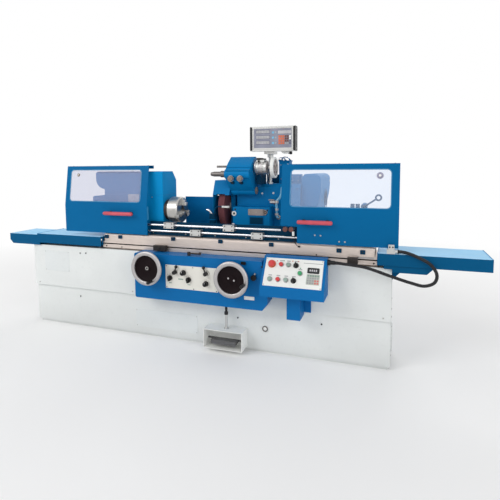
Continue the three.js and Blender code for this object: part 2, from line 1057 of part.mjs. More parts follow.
function doorPanel(side, notch) {
  const way = Math.sign(side.inner - side.outer);
  const path = [
    [door.front, door.bottom],
    [door.front, door.crease],
    [door.front + door.lean, door.top],
    [door.front + door.lean + door.flange, door.top],
    [door.front + door.lean + door.flange, door.top - door.lip],
  ];
  const outline = folded([...path].reverse(), sheet);
  const skin = prism("x", outline, side.outer, side.inner);
  const strip = [
    [side.inner, 0],
    [side.inner - way * door.stripDepth, -door.stripDepth],
    [side.inner - way * (door.stripDepth + sheet), -door.stripDepth],
    [side.inner - way * sheet, 0],
  ];
  const lower = prism(
    "z",
    strip.map(([x, y]) => [x, y + door.front + door.stripDepth + seat]),
    door.stripBottom,
    door.crease,
  );
  const handleY = door.front - door.handleOut;
  const bar = rod("x", [handleY, side.handleZ], door.handleRadius, side.handleLeft, side.handleRight);
  const posts = [side.handleLeft + door.handleRadius * 2, side.handleRight - door.handleRadius * 2].map((x) =>
    rod("y", [x, side.handleZ], door.handlePost, handleY, door.front + sheet / 2),
  );
  const brackets = side.brackets.map((x) =>
    block(
      [x - door.bracketHalf, x + door.bracketHalf],
      [door.front + sheet / 2, door.bracketBack],
      [side.rodZ - door.bracketHalf, side.rodZ + door.bracketHalf],
    ),
  );
  const ends = [side.outer - way * overrun, side.inner + way * overrun];
  const bore = rod("x", [rail.rodY, side.rodZ], rail.rodRadius + seat, ...ends);
  const whole = joined([skin, lower, bar, ...posts, ...brackets]);
  return cut(whole, [bore, windowPrism(side, 0, overrun, overrun), ...notch]);
}

function leftDoorPanel() {
  return doorPanel(leftDoor, []);
}

function rightDoorPanel() {
  const notch = block(
    [rightDoor.inner - overrun, door.notchRight],
    [door.front - overrun, door.bracketBack],
    [door.bottom - overrun, door.notchTop],
  );
  return doorPanel(rightDoor, [notch]);
}

function doorRod(side) {
  return rod("x", [rail.rodY, side.rodZ], rail.rodRadius, side.brackets[side.outer < 0 ? 0 : 1], side.rodFar);
}

// Workhead: a stepped casting under a rounded cowl
function headstockBody() {
  const base = swivelTop + seat;
  const foot = block(
    [head.baseLeft, head.right],
    [head.front, head.baseBack],
    [base, base + head.baseHeight],
  );
  const outline = [
    [head.tailLeft, base + head.baseHeight - seat],
    [head.right, base + head.baseHeight - seat],
    [head.right, headSplit],
    [head.left, headSplit],
    [head.cowlStep, headSplit],
    [head.cowlStep - head.edge, headTailTop + head.edge / 2],
    [head.tailLeft + head.edge, headTailTop],
    [head.tailLeft, headTailTop - head.edge],
  ];
  const casting = prism("y", outline, head.front, head.back);
  const nose = rod(
    "x",
    [centreDepth, centreHeight],
    head.nose,
    head.right - overrun,
    chuck.back - seat,
    round,
  );
  return joined([foot, casting, nose]);
}

function headstockCowl() {
  const base = headSplit + seat;
  const across = [
    [head.front, base],
    [head.back, base],
    [head.back, cowlTop - head.chamferZ],
    [head.back - head.chamferY, cowlTop],
    [head.front + head.edge, cowlTop],
    [head.front, cowlTop - head.edge],
  ];
  const side = new THREE.Shape();
  side.moveTo(head.right, base);
  side.lineTo(head.right, cowlTop);
  side.lineTo(head.cowlLeft + head.edge, cowlTop);
  side.lineTo(head.cowlLeft, cowlTop - head.edge);
  side.lineTo(head.cowlLeft, cowlUnder + head.cowlRound);
  side.absarc(
    head.cowlLeft + head.cowlRound,
    cowlUnder + head.cowlRound,
    head.cowlRound,
    Math.PI,
    Math.PI * 1.5,
  );
  side.lineTo(head.cowlStep, base);
  return prism("x", across, head.cowlLeft - overrun, head.right + overrun).intersect(
    prism("y", side, head.front - overrun, head.back + overrun),
  );
}

// Three-jaw chuck
function chuckBody() {
  const shoulder = chuck.back + chuck.plateLength;
  const profile = [
    [0, chuck.back],
    [chuck.plateRadius, chuck.back],
    [chuck.plateRadius, shoulder],
    [chuck.radius, shoulder],
    [chuck.radius, chuck.face - chuck.bevel],
    [chuck.radius - chuck.bevel, chuck.face],
    [chuck.bore, chuck.face],
    [chuck.bore, chuck.face - chuck.boreDepth],
    [0, chuck.face - chuck.boreDepth],
  ];
  const body = turned("x", [0, 0], profile);
  const slot = block(
    [chuck.face - jaw.slotDepth, chuck.face + overrun],
    [-jaw.width / 2 - seat, jaw.width / 2 + seat],
    [0, chuck.radius + overrun],
  );
  const slots = jawTurns.map((degrees) => slot.rotate([degrees, 0, 0]));
  return cut(body, slots).translate([0, centreDepth, centreHeight]);
}

const jawTurns = [0, 120, 240];

function chuckJaw() {
  const high = jaw.tip - chuck.face;
  const stride = (jaw.outer - jaw.inner) / jaw.stepsShare.length;
  const across = [-jaw.width / 2, jaw.width / 2];
  const root = block([chuck.face - jaw.slotDepth + seat, chuck.face + seat], across, [jaw.inner, jaw.outer]);
  const steps = jaw.stepsShare.map((share, i) =>
    block([chuck.face, chuck.face + high * share], across, [
      jaw.inner + stride * i,
      jaw.inner + stride * (i + 1) + (i < jaw.stepsShare.length - 1 ? seat : 0),
    ]),
  );
  return joined([root, ...steps]);
}

// Footstock with its sprung quill and the ring-ended lever that draws it back
function tailstockBody() {
  const base = swivelTop + seat;
  const across = [
    [tail.front, base],
    [tail.back, base],
    [tail.back, base + tail.footHeight],
    [centreDepth + tail.barrel, centreHeight - tail.waist],
    [centreDepth + tail.barrel, centreHeight],
    [centreDepth - tail.barrel, centreHeight],
    [centreDepth - tail.barrel, centreHeight - tail.waist],
    [tail.front, base + tail.footHeight],
  ];
  const casting = prism("x", across, tail.left, tail.right);
  const barrel = rod("x", [centreDepth, centreHeight], tail.barrel, tail.left, tail.right, round);
  const bore = rod(
    "x",
    [centreDepth, centreHeight],
    quill.radius + seat,
    tail.left - overrun,
    tail.left + tail.boreDepth,
    round,
  );
  const knobTop = centreHeight + tail.barrel + tail.knobHeight;
  const clamps = [tail.knobX - tail.knobGap / 2, tail.knobX + tail.knobGap / 2].map((x) =>
    rod("z", [x, centreDepth], tail.knobRadius, centreHeight, knobTop),
  );
  const boss = rod(
    "y",
    [tail.bossX, bossZ],
    tail.bossRadius,
    centreDepth - tail.barrel,
    centreDepth + tail.barrel,
  );
  const post = block(
    [tail.bossX - tail.bossRadius, tail.bossX + tail.bossRadius],
    [centreDepth - tail.barrel / 2, centreDepth + tail.barrel / 2],
    [centreHeight, bossZ],
  );
  return joined([casting, barrel, ...clamps, boss, post]).subtract(bore);
}

function tailstockQuill() {
  const front = tail.left - quill.out;
  const profile = [
    [0, front - quill.cone],
    [quill.coneRadius, front],
    [quill.radius, front],
    [quill.radius, front + quill.length],
    [0, front + quill.length],
  ];
  return turned("x", [centreDepth, centreHeight], profile, round);
}

function tailstockLever() {
  const y = centreDepth - tail.barrel - lever.reach - seat;
  const hub = rod("y", [tail.bossX, bossZ], lever.hub, y - lever.hub / 2, centreDepth - tail.barrel - seat);
  const run = Math.hypot(lever.tipX - tail.bossX, (centreHeight + lever.tipRise) - bossZ);
  const angle = Math.atan2((centreHeight + lever.tipRise) - bossZ, lever.tipX - tail.bossX);
  const stem = new THREE.CylinderGeometry(lever.rodRadius, lever.rodRadius, run - lever.ringRadius, small);
  stem.rotateZ(-Math.PI / 2).translate((run - lever.ringRadius) / 2, 0, 0).rotateY(-angle);
  const ring = new THREE.TorusGeometry(lever.ringRadius, lever.ringTube, small / 2, small + small / 2);
  ring.rotateX(Math.PI / 2).translate(run, 0, 0).rotateY(-angle);
  const place = (geometry) => solid(geometry.translate(tail.bossX, y, bossZ));
  return joined([hub, place(stem), place(ring)]);
}

function rearSplashShield() {
  const foot = bedTop + seat;
  const path = [
    [shield.back - shield.foot, foot],
    [shield.back, foot],
    [shield.back, shield.top],
  ];
  return prism("x", folded(path, sheet), shield.left, shield.right);
}

// Wheelhead: cross slide, swivel seat, chamfered body, nose box, readout post and the internal head's lug
function wheelheadBody() {
  const slide = block(
    [wheelhead.carriageLeft, wheelhead.carriageRight],
    [wheelhead.carriageFront, wheelhead.carriageBack],
    [tableBase, wheelhead.carriageTop],
  );
  const groove = veeWay(
    "y",
    crossWay.left,
    bedTop,
    way.veeHalf + running,
    way.veeHeight + running,
    wheelhead.carriageFront - overrun,
    wheelhead.carriageBack + overrun,
  );
  const turntable = rod(
    "z",
    [wheelhead.swivelX, wheelhead.swivelY],
    wheelhead.swivelRadius,
    wheelhead.carriageTop - seat,
    wheelhead.bottom + seat,
    round,
  );
  const top = [
    [wheelhead.front, wheelhead.bottom],
    [wheelhead.back, wheelhead.bottom],
    [wheelhead.back, wheelhead.top - wheelhead.edge],
    [wheelhead.back - wheelhead.edge, wheelhead.top],
    [wheelhead.front + wheelhead.edge, wheelhead.top],
    [wheelhead.front, wheelhead.top - wheelhead.edge],
  ];
  const body = prism("x", top, wheelhead.left, wheelhead.right);
  const nose = block(
    [wheelhead.left, wheelhead.noseRight],
    [wheelhead.noseFront, wheelhead.front + seat],
    [wheelhead.bottom, wheelhead.noseTop],
  );
  return joined([slide.subtract(groove), turntable, body, nose, internalLug(), readoutPost()]);
}

function internalLug() {
  const middle = (internal.left + internal.right) / 2;
  const half = internal.lugHalf - seat;
  const eye = rod(
    "x",
    [internal.pivotY, internal.pivotZ],
    internal.lugRadius,
    middle - half,
    middle + half,
    round,
  );
  const web = block([middle - half, middle + half], [internal.pivotY, wheelhead.front + seat], [
    internal.pivotZ - internal.lugRadius,
    internal.pivotZ + internal.lugRadius - seat,
  ]);
  const bore = rod(
    "x",
    [internal.pivotY, internal.pivotZ],
    internal.pin + seat,
    middle - half - overrun,
    middle + half + overrun,
    round,
  );
  return eye.add(web).subtract(bore);
}

function readoutPost() {
  const place = [wheelhead.postX, wheelhead.postY];
  const base = wheelhead.top - seat;
  const foot = rod("z", place, wheelhead.postFoot, base, wheelhead.top + wheelhead.postFootHeight, round);
  const post = rod("z", place, wheelhead.postRadius, base, wheelhead.postTop, round);
  const pin = rod("z", place, wheelhead.pinRadius, wheelhead.postTop - seat, wheelhead.pinTop, round);
  return joined([foot, post, pin]);
}

function grindingWheel() {
  const right = grinding.left + grinding.width;
  const profile = [
    [0, grinding.left - grinding.flangeWidth - grinding.nutWidth],
    [grinding.nut, grinding.left - grinding.flangeWidth - grinding.nutWidth],
    [grinding.nut, grinding.left - grinding.flangeWidth],
    [grinding.flange, grinding.left - grinding.flangeWidth],
    [grinding.flange, grinding.left],
    [grinding.radius, grinding.left],
    [grinding.radius, right],
    [grinding.flange, right],
    [grinding.flange, right + grinding.flangeWidth],
    [grinding.arbor, right + grinding.flangeWidth],
    [grinding.arbor, wheelhead.left - seat],
    [0, wheelhead.left - seat],
  ];
  return turned("x", [grinding.y, centreHeight], profile, round + small);
}

function wheelGuard() {
  const floor = guard.bottom + seat;
  const outline = [
    [guard.chinY, floor],
    [guard.back, floor],
    [guard.back, guard.top - guard.backDrop],
    [guard.back - guard.backRun, guard.top],
    [guard.front + guard.browRun, guard.top],
    [guard.front, guard.top - guard.browDrop],
    [guard.chinY - guard.chinRun, guard.mouthZ],
    [guard.chinY, guard.chinZ],
  ];
  const shell = prism("x", outline, guard.left, guard.right).subtract(
    prism("x", inset(outline, guard.wall), guard.left + guard.wall, guard.right - guard.wall),
  );
  const mouth = block(
    [grinding.left - guard.sideGap, grinding.left + grinding.width + guard.sideGap],
    [guard.front - overrun, guard.chinY + guard.wall * 2],
    [floor + guard.wall, guard.mouthZ + guard.wall * 2],
  );
  const arborHole = rod(
    "x",
    [grinding.y, centreHeight],
    grinding.arbor + guard.sideGap,
    guard.right - guard.wall * 2,
    guard.right + overrun,
    round,
  );
  return cut(shell, [mouth, arborHole]);
}

function wheelheadMotor() {
  const left = wheelhead.right + seat;
  const shape = new THREE.Shape();
  shape.moveTo(left, motor.bottom);
  shape.lineTo(motor.right - motor.slope, motor.bottom);
  shape.quadraticCurveTo(
    motor.right,
    (motor.bottom + motor.top) / 2,
    motor.right,
    motor.top - motor.round * 2,
  );
  shape.lineTo(motor.right, motor.top - motor.round);
  shape.absarc(motor.right - motor.round, motor.top - motor.round, motor.round, 0, Math.PI / 2);
  shape.lineTo(left + motor.notch, motor.top);
  shape.lineTo(left, motor.top - motor.notch);
  return prism("y", shape, motor.front, motor.back);
}

// Motor of the internal spindle, with cooling ribs, its pulley and the foot that seats on the wheelhead
function internalMotor() {
  const stride = (drive.right - drive.left) / (drive.ribs * 2);
  const profile = [[0, drive.left]];
  for (let i = 0; i < drive.ribs * 2; i += 1) {
    const radius = drive.radius - (i % 2) * drive.ribDepth;
    profile.push([radius, drive.left + stride * i], [radius, drive.left + stride * (i + 1)]);
  }
  profile.push(
    [drive.shaft, drive.right],
    [drive.shaft, drive.pulleyLeft],
    [drive.pulley, drive.pulleyLeft],
    [drive.pulley, drive.pulleyRight],
    [0, drive.pulleyRight],
  );
  const barrel = turned("x", [drive.y, drive.z], profile, round - small / 2);
  const foot = block(
    [drive.footLeft, drive.footRight],
    [drive.y, drive.footBack],
    [wheelhead.top + seat, drive.z - drive.footInset],
  );
  return barrel.add(foot);
}

// Swing-down internal grinding head, forked round the wheelhead's lug
function internalHead() {
  const outline = [
    [internal.back, internal.pivotZ],
    [internal.back, internal.top - internal.crown / 2],
    [internal.back - internal.crown / 2, internal.top],
    [internal.back - internal.crown, internal.top],
    [internal.shoulderY, internal.shoulderZ],
    [internal.barrelY - internal.barrel, internal.barrelZ],
    [internal.barrelY, internal.barrelZ - internal.barrel],
    [internal.chinY, internal.chinZ],
    [internal.pivotY - internal.hub, internal.pivotZ],
  ];
  const body = prism("x", outline, internal.left, internal.right);
  const barrel = rod(
    "x",
    [internal.barrelY, internal.barrelZ],
    internal.barrel,
    internal.left,
    internal.right,
    round,
  );
  const hub = rod(
    "x",
    [internal.pivotY, internal.pivotZ],
    internal.hub,
    internal.left,
    internal.right,
    round,
  );
  const middle = (internal.left + internal.right) / 2;
  const gapX = [middle - internal.lugHalf, middle + internal.lugHalf];
  const eyeRoom = rod("x", [internal.pivotY, internal.pivotZ], internal.lugRadius + running, ...gapX, round);
  const webRoom = block(gapX, [internal.pivotY, internal.back + overrun], [
    internal.pivotZ - internal.hub - overrun,
    internal.pivotZ + internal.lugRadius + running,
  ]);
  const below = block(gapX, [internal.pivotY - internal.hub - seat, internal.back], [
    internal.pivotZ - internal.hub - overrun,
    internal.pivotZ,
  ]);
  const slope = Math.atan2(
    internal.shoulderZ - internal.barrelZ,
    internal.shoulderY - internal.barrelY + internal.barrel,
  );
  const grooves = [1, 2].map((i) => {
    const z = internal.shoulderZ - i * internal.grooveGap + internal.groove;
    const y = internal.shoulderY - (internal.shoulderZ - z) / Math.tan(slope);
    return block(
      [internal.left - overrun, internal.right + overrun],
      [y - overrun, y + internal.groove * 2],
      [z, z + internal.groove],
    );
  });
  const pin = rod(
    "x",
    [internal.pivotY, internal.pivotZ],
    internal.pin,
    internal.left,
    internal.right,
    round,
  );
  const knobFront = internal.barrelY - internal.barrel - internal.knobLength;
  const handles = internal.knobXs.map((x) =>
    rod("y", [x, internal.knobZ], internal.knob, knobFront, internal.barrelY + overrun),
  );
  const guardRod = rod(
    "x",
    [internal.guardRodY, internal.guardRodZ],
    internal.guardRod,
    internal.guardRodLeft,
    internal.left + overrun,
  );
  const forked = cut(joined([body, barrel, hub]), [eyeRoom, webRoom, below, ...grooves]);
  return joined([forked, pin, ...handles, guardRod]);
}

function internalSpindle() {
  const back = internal.left - seat;
  const profile = [
    [0, back],
    [spindle.collar, back],
    [spindle.collar, back - spindle.collarLength],
    [spindle.radius, back - spindle.collarLength],
    [spindle.radius, back - spindle.length + spindle.tipLength],
    [spindle.tip, back - spindle.length],
    [0, back - spindle.length],
  ];
  return turned("x", [internal.barrelY, internal.barrelZ], profile);
}

// Digital readout, built square round its own middle and then yawed; its arm turns on the post's pin
function readoutBox() {
  const half = readout.width / 2;
  const tall = readout.height / 2;
  const deep = readout.depth / 2;
  const body = block([-half, half], [-deep, deep], [-tall, tall]);
  const caps = [-1, 1].map((side) =>
    prism(
      "x",
      rounded([-deep - readout.capProud, deep + readout.capProud], [-tall, tall], readout.cap),
      side * half,
      side * (half - readout.cap),
    ),
  );
  const field = block(
    [-half + readout.cap + readout.bezel, half - readout.cap - readout.bezel],
    [-deep - overrun, -deep + readout.bezelDepth],
    [-tall + readout.bezel, tall - readout.bezel],
  );
  const shifted = joined([body, ...caps])
    .subtract(field)
    .rotate([0, 0, THREE.MathUtils.radToDeg(readout.yaw)])
    .translate([readout.x, readout.y, readout.bottom + tall]);
  const collarBottom = wheelhead.postTop + seat;
  const collarTop = readout.bottom;
  const bottom = collarTop - readout.arm;
  const collar = rod("z", [wheelhead.postX, wheelhead.postY], readout.collar, collarBottom, collarTop, round);
  const arm = block(
    [wheelhead.postX - readout.arm, readout.x],
    [readout.y, wheelhead.postY],
    [bottom, collarTop + seat],
  );
  const bore = rod(
    "z",
    [wheelhead.postX, wheelhead.postY],
    wheelhead.pinRadius + seat,
    collarBottom - overrun,
    wheelhead.pinTop + seat,
    round,
  );
  return joined([shifted, collar, arm]).subtract(bore);
}

// Apron with its raised panel
function apronHousing() {
  const outline = [
    [apron.left + apron.edge, apron.bottom],
    [apron.right - apron.cornerX, apron.bottom],
    [apron.right, apron.bottom + apron.cornerZ],
    [apron.right, apron.shoulderZ],
    [apron.shoulder, apron.shoulderZ],
    [apron.shoulder, apron.top - apron.edge],
    [apron.shoulder - apron.edge, apron.top],
    [apron.left + apron.edge, apron.top],
    [apron.left, apron.top - apron.edge],
    [apron.left, apron.bottom + apron.edge],
  ];
  const shell = prism("y", outline, apron.front, -bed.lip - seat);
  const panel = block(
    [apron.panelLeft, apron.panelRight],
    [apron.front - apron.panelProud, apron.front + overrun],
    [apron.panelBottom, apron.panelTop],
  );
  return shell.add(panel);
}

// Dished handwheel about y, with its stem, hub and crank grip
function handwheelSolid() {
  const back = apron.front - seat;
  const rim = handwheel.rimY;
  const inner = handwheel.radius - handwheel.tube;
  const profile = [
    [0, back],
    [handwheel.stem, back],
    [handwheel.stem, rim + handwheel.dish],
    [handwheel.hub, rim + handwheel.dish],
    [handwheel.dishInner, rim + handwheel.web / 2],
    [inner, rim + handwheel.web / 2],
    [inner, rim - handwheel.web / 2],
    [handwheel.dishInner, rim - handwheel.web / 2],
    [handwheel.hub, rim + handwheel.dish - handwheel.web],
    [handwheel.hub, rim - handwheel.hubBack],
    [0, rim - handwheel.hubBack],
  ];
  const dish = turned("y", [0, 0], profile);
  const ring = new THREE.TorusGeometry(inner, handwheel.tube, small / 2, round).rotateX(Math.PI / 2);
  const grip = turned(
    "y",
    [handwheel.gripAt, 0],
    [
      [0, rim],
      [handwheel.neck, rim],
      [handwheel.neck, rim - handwheel.neckLength],
      [handwheel.grip, rim - handwheel.neckLength * 2],
      [handwheel.grip, rim - handwheel.gripLength],
      [0, rim - handwheel.gripLength],
    ],
    small,
  );
  const gripSeat = rod(
    "y",
    [handwheel.gripAt, 0],
    handwheel.grip,
    rim - handwheel.web,
    rim + handwheel.dish / 2,
  );
  return joined([dish, solid(ring.translate(0, rim, 0)), gripSeat, grip]);
}

function ballLeverSolid(lean) {
  const hub = rod("y", [0, 0], ballLever.hub, -ballLever.hubLength, 0);
  const y = -ballLever.hubLength + ballLever.stem * 2;
  const stem = new THREE.CylinderGeometry(ballLever.stem, ballLever.stem, ballLever.reach, small);
  stem.translate(0, ballLever.reach / 2, 0).rotateX(Math.PI / 2).rotateY(lean);
  const ball = new THREE.SphereGeometry(ballLever.ball, small, small / 2);
  ball.translate(0, 0, ballLever.reach).rotateY(lean);
  return joined([hub, solid(stem.translate(0, y, 0)), solid(ball.translate(0, y, 0))]);
}

function flutedKnob() {
  const profile = [
    [0, 0],
    [knobs.radius / 2, 0],
    [knobs.radius / 2, -knobs.shaftLength],
    [knobs.skirt, -knobs.shaftLength],
    [knobs.radius, -knobs.length / 2],
    [knobs.radius, -knobs.length],
    [0, -knobs.length],
  ];
  return turned("y", [0, 0], profile, small);
}

function pointerKnob() {
  const dial = rod("y", [0, 0], pointer.radius, -pointer.length, 0);
  const bar = block([-pointer.barHalf, pointer.barHalf], [-pointer.length * 2, -pointer.length + seat], [
    -pointer.radius,
    pointer.radius,
  ]);
  return dial.add(bar);
}

function placedAt(mesh, x, y, z) {
  mesh.position.set(x, y, z);
  return mesh;
}

// Operator's console: a wedge with a proud panel, on an arm bolted to the bed, with the hose's gland
function operatorBox() {
  const outline = [
    [box.front, box.bottom],
    [box.back, box.bottom],
    [box.back, box.top],
    [box.kneeY, box.kneeZ],
    [box.front, box.lipTop],
  ];
  const wedge = prism("x", outline, box.left, box.right);
  const arm = block(
    [box.armLeft, box.armRight],
    [box.armFront, -armBack],
    [box.armBottom, box.bottom + seat],
  );
  const flange = block(
    [box.armLeft, box.armFlangeRight],
    [-armBack - box.armFlange, -armBack],
    [bedBase + box.armFlange, box.bottom - box.armFlange],
  );
  const gland = turned(
    "x",
    [box.glandY, box.glandZ],
    [
      [0, box.right - seat],
      [box.glandRadius, box.right - seat],
      [box.glandRadius, box.right + box.glandLength * glandCollarShare],
      [box.glandRadius * glandNeckShare, box.right + box.glandLength * glandCollarShare],
      [box.glandRadius * glandNeckShare, box.right + box.glandLength],
      [0, box.right + box.glandLength],
    ],
    small,
  );
  return joined([wedge, arm, flange, gland, consolePanel()]).subtract(joined(buttonHoles()));
}

const armBack = bed.lip + seat;
const panelLean = Math.atan2(box.kneeY - box.front, box.kneeZ - box.lipTop);
const panelLength = Math.hypot(box.kneeY - box.front, box.kneeZ - box.lipTop);

// Turns a solid built on a flat panel (x across, z up the slope, y out of it) to the console's slope.
function onPanel(body) {
  return body
    .rotate([-THREE.MathUtils.radToDeg(panelLean), 0, 0])
    .translate([0, box.front, box.lipTop]);
}

function consolePanel() {
  const panel = block(
    [box.left + box.panelInset, box.right - box.panelInset],
    [-box.panelProud, overrun],
    [box.panelLow, panelLength - box.panelHigh],
  );
  return onPanel(panel);
}

// The console's actuators, by their distance along the panel and their share of its height
const topRowShare = 0.74;
const middleRowShare = 0.5;
const bottomRowShare = 0.26;
const actuators = [
  { name: "emergency_stop", kind: "mushroom", x: 706, share: topRowShare, color: 0xb3222a },
  { name: "stop_button", kind: "button", x: 768, share: topRowShare, color: 0xc0302f },
  { name: "pump_button", kind: "button", x: 816, share: topRowShare, color: 0x8d9c92 },
  { name: "feed_selector", kind: "selector", x: 866, share: topRowShare, color: 0x1c1d1f },
  { name: "start_button", kind: "button", x: 898, share: middleRowShare, color: 0x2f8f55 },
  { name: "jog_button", kind: "button", x: 706, share: bottomRowShare, color: 0x8d9c92 },
  { name: "wheel_stop_button", kind: "button", x: 760, share: bottomRowShare, color: 0xc0302f },
  { name: "wheel_start_button", kind: "button", x: 812, share: bottomRowShare, color: 0x8d9c92 },
  { name: "work_selector", kind: "selector", x: 862, share: bottomRowShare, color: 0x1c1d1f },
];

function buttonHoles() {
  return actuators.map(({ x, share }) => {
    const hole = rod("y", [x, share * panelLength], button.hole, -overrun, button.travel + sheet);
    return onPanel(hole);
  });
}

function actuatorSolid(kind) {
  const face = -box.panelProud;
  const stemRadius = button.hole - running;
  if (kind === "mushroom")
    return joined([
      rod("y", [0, 0], stemRadius, face - emergency.stem, sheet, small),
      turned("y", [0, 0], [
        [0, face - emergency.stem + seat],
        [emergency.radius, face - emergency.stem],
        [emergency.radius, face - emergency.edge],
        [emergency.crown, face - emergency.length],
        [0, face - emergency.length],
      ], small),
    ]);
  const cap = rod("y", [0, 0], stemRadius, face - button.length, sheet, small);
  if (kind === "button") return cap;
  const top = face - button.length;
  const bar = block(
    [-selector.barHalf, selector.barHalf],
    [top - selector.barLength, top + seat],
    [-stemRadius, stemRadius],
  );
  return cap.add(bar);
}

// Foot pedal in its open box under the apron, on a feed pipe
function pedalBoxSolid() {
  const back = -seat;
  const outer = block(
    [pedalBox.left, pedalBox.right],
    [pedalBox.front, back],
    [pedalBox.bottom, pedalBox.top],
  );
  const hollow = block(
    [pedalBox.left + pedalBox.wall, pedalBox.right - pedalBox.wall],
    [pedalBox.front - overrun, back - pedalBox.wall],
    [pedalBox.bottom + pedalBox.wall, pedalBox.top - pedalBox.wall],
  );
  const place = [pedalBox.pipeX, pedalBox.pipeY];
  const pipe = rod("z", place, pedalBox.pipeRadius, pedalBox.top - seat, apron.bottom - seat);
  const collar = rod("z", place, pedalBox.collarRadius, pedalBox.collarBottom, pedalBox.collarTop);
  const foot = rod("z", place, pedalBox.footRadius, pedalBox.top - seat, pedalBox.top + pedalBox.footHeight);
  return joined([outer.subtract(hollow), pipe, collar, foot]);
}

function footPedal() {
  const middle = (pedalBox.left + pedalBox.right) / 2;
  const tread = [
    [pedal.front, pedal.pinZ - pedal.fall / 2],
    [pedal.pinY, pedal.pinZ - pedal.thickness / 2],
    [pedal.pinY, pedal.pinZ + pedal.thickness / 2],
    [pedal.front, pedal.pinZ + pedal.thickness],
  ];
  const plateSolid = prism("x", tread, middle - pedal.half, middle + pedal.half);
  const inner = (pedalBox.right - pedalBox.left) / 2 - pedalBox.wall - seat;
  const pin = rod("x", [pedal.pinY, pedal.pinZ], pedal.pinRadius, middle - inner, middle + inner);
  return plateSolid.add(pin);
}

// Ribbed hose with its bore, along a hand-chosen route with a plain end at each fitting
function conduitHose() {
  const start = new THREE.Vector3(box.right + box.glandLength + seat, box.glandY, box.glandZ);
  const end = new THREE.Vector3(
    clampX + clamp.width / 2 + clamp.glandLength + seat,
    clamp.y,
    coverTop + seat + clamp.height / 2,
  );
  const plain = hose.radius * 2;
  const points = [
    start,
    start.clone().add(new THREE.Vector3(plain, 0, 0)),
    ...hoseRoute.map(([x, y, z]) => new THREE.Vector3(x, y, z)),
    end.clone().add(new THREE.Vector3(plain, 0, 0)),
    end,
  ];
  const curve = new THREE.CatmullRomCurve3(points, false, "centripetal");
  curve.arcLengthDivisions = hose.ribs * hose.points;
  const length = curve.getLength();
  const ribbed = length - plain * 2;
  const stations = [[0, hose.radius], [plain, hose.radius]];
  for (let i = 0; i < hose.ribs; i += 1) {
    stations.push([plain + (ribbed * (i + valleyShare)) / hose.ribs, hose.valley]);
    stations.push([plain + (ribbed * (i + crestShare)) / hose.ribs, hose.radius]);
  }
  stations.push([length - plain, hose.radius], [length, hose.radius]);
  console.log("hose length", length.toFixed(0), "mm");
  return tubeFrom(curve, length, stations);
}

// A tube of outer rings at the stations and bore rings between its ends, closed by two annular faces
function tubeFrom(curve, length, stations) {
  const boreStations = [];
  const boreRings = Math.round(hose.ribs / hose.ribsPerBoreRing);
  for (let i = 0; i <= boreRings; i += 1) boreStations.push([(length * i) / boreRings, hose.bore]);
  const up = new THREE.Vector3(0, -1, 0);
  const ringAt = ([at, radius]) => {
    const centre = curve.getPointAt(at / length);
    const along = curve.getTangentAt(at / length);
    const side = new THREE.Vector3().crossVectors(along, up).normalize();
    const over = new THREE.Vector3().crossVectors(side, along).normalize();
    return Array.from({ length: hose.points }, (_, i) => {
      const angle = (Math.PI * 2 * i) / hose.points;
      return centre
        .clone()
        .addScaledVector(side, radius * Math.cos(angle))
        .addScaledVector(over, radius * Math.sin(angle));
    });
  };
  const outer = stations.map(ringAt);
  const inner = boreStations.map(ringAt).reverse();
  const rings = [...outer, ...inner, outer[0]];
  const corners = [];
  for (let i = 0; i < rings.length - 1; i += 1)
    for (let j = 0; j < hose.points; j += 1) {
      const k = (j + 1) % hose.points;
      corners.push(rings[i][j], rings[i + 1][k], rings[i][k]);
      corners.push(rings[i][j], rings[i + 1][j], rings[i + 1][k]);
    }
  const geometry = new THREE.BufferGeometry().setFromPoints(corners);
  return solid(geometry);
}

// Fixed bodies of the bed
put(machine, "lower_plinth", lowerPlinth(), cream());
put(machine, "upper_bed", upperBed(), cream());
put(machine, "apron_housing", apronHousing(), royal());
put(machine, "operator_box", operatorBox(), royal());
put(machine, "pedal_box", pedalBoxSolid(), cream());
put(machine, "left_end_cover", leftEndCover(), royal());
put(machine, "right_tray", rightTray(), royal());
put(machine, "rear_splash_shield", rearSplashShield(), blue());
put(machine, "conduit_hose", conduitHose(), black());
put(machine, "foot_pedal", footPedal(), black());
put(machine, "reversing_lever", reversingLever(), steel());

// Controls on the apron
for (const { name, x, z, turn } of wheels) {
  const mesh = put(machine, name, handwheelSolid(), chrome());
  placedAt(mesh, x, 0, z).rotation.y = turn;
}
for (const { name, x, z, lean } of apronControls.levers)
  placedAt(put(machine, name, ballLeverSolid(lean), black()), x, apron.front - apron.panelProud - seat, z);
for (const { name, x, z } of apronControls.knobs)
  placedAt(put(machine, name, flutedKnob(), black()), x, apron.front - apron.panelProud - seat, z);
for (const { name, x, z } of apronControls.pointers)
  placedAt(put(machine, name, pointerKnob(), black()), x, apron.front - apron.panelProud - seat, z);
const stopBody = rod("y", [0, 0], stop.radius, -stop.length, 0);
placedAt(put(machine, "dwell_knob", stopBody, black()), stopKnob.x, apron.front - seat, stopKnob.z);

// Console actuators, on a group that has the panel's slope
const panelGroup = subgroup(machine);
panelGroup.position.set(0, box.front, box.lipTop);
panelGroup.rotation.x = -panelLean;
for (const { name, kind, x, share, color } of actuators)
  placedAt(put(panelGroup, name, actuatorSolid(kind), paint(color, 0.35)), x, 0, share * panelLength);

// Table and what rides on it
put(tableGroup, "lower_table", lowerTable(), steel());
put(tableGroup, "left_way_cover", wayCover(-1, tableLeft - seat, cover.leftLength), royal());
put(tableGroup, "right_way_cover", wayCover(1, tableRight + seat, cover.rightLength), royal());
put(tableGroup, "hose_clamp", hoseClamp(), black());
put(tableGroup, "left_trip_dog", tripDog(dog.leftX, dog.leftWidth), black());
put(tableGroup, "right_trip_dog", tripDog(dog.rightX, dog.rightWidth), black());

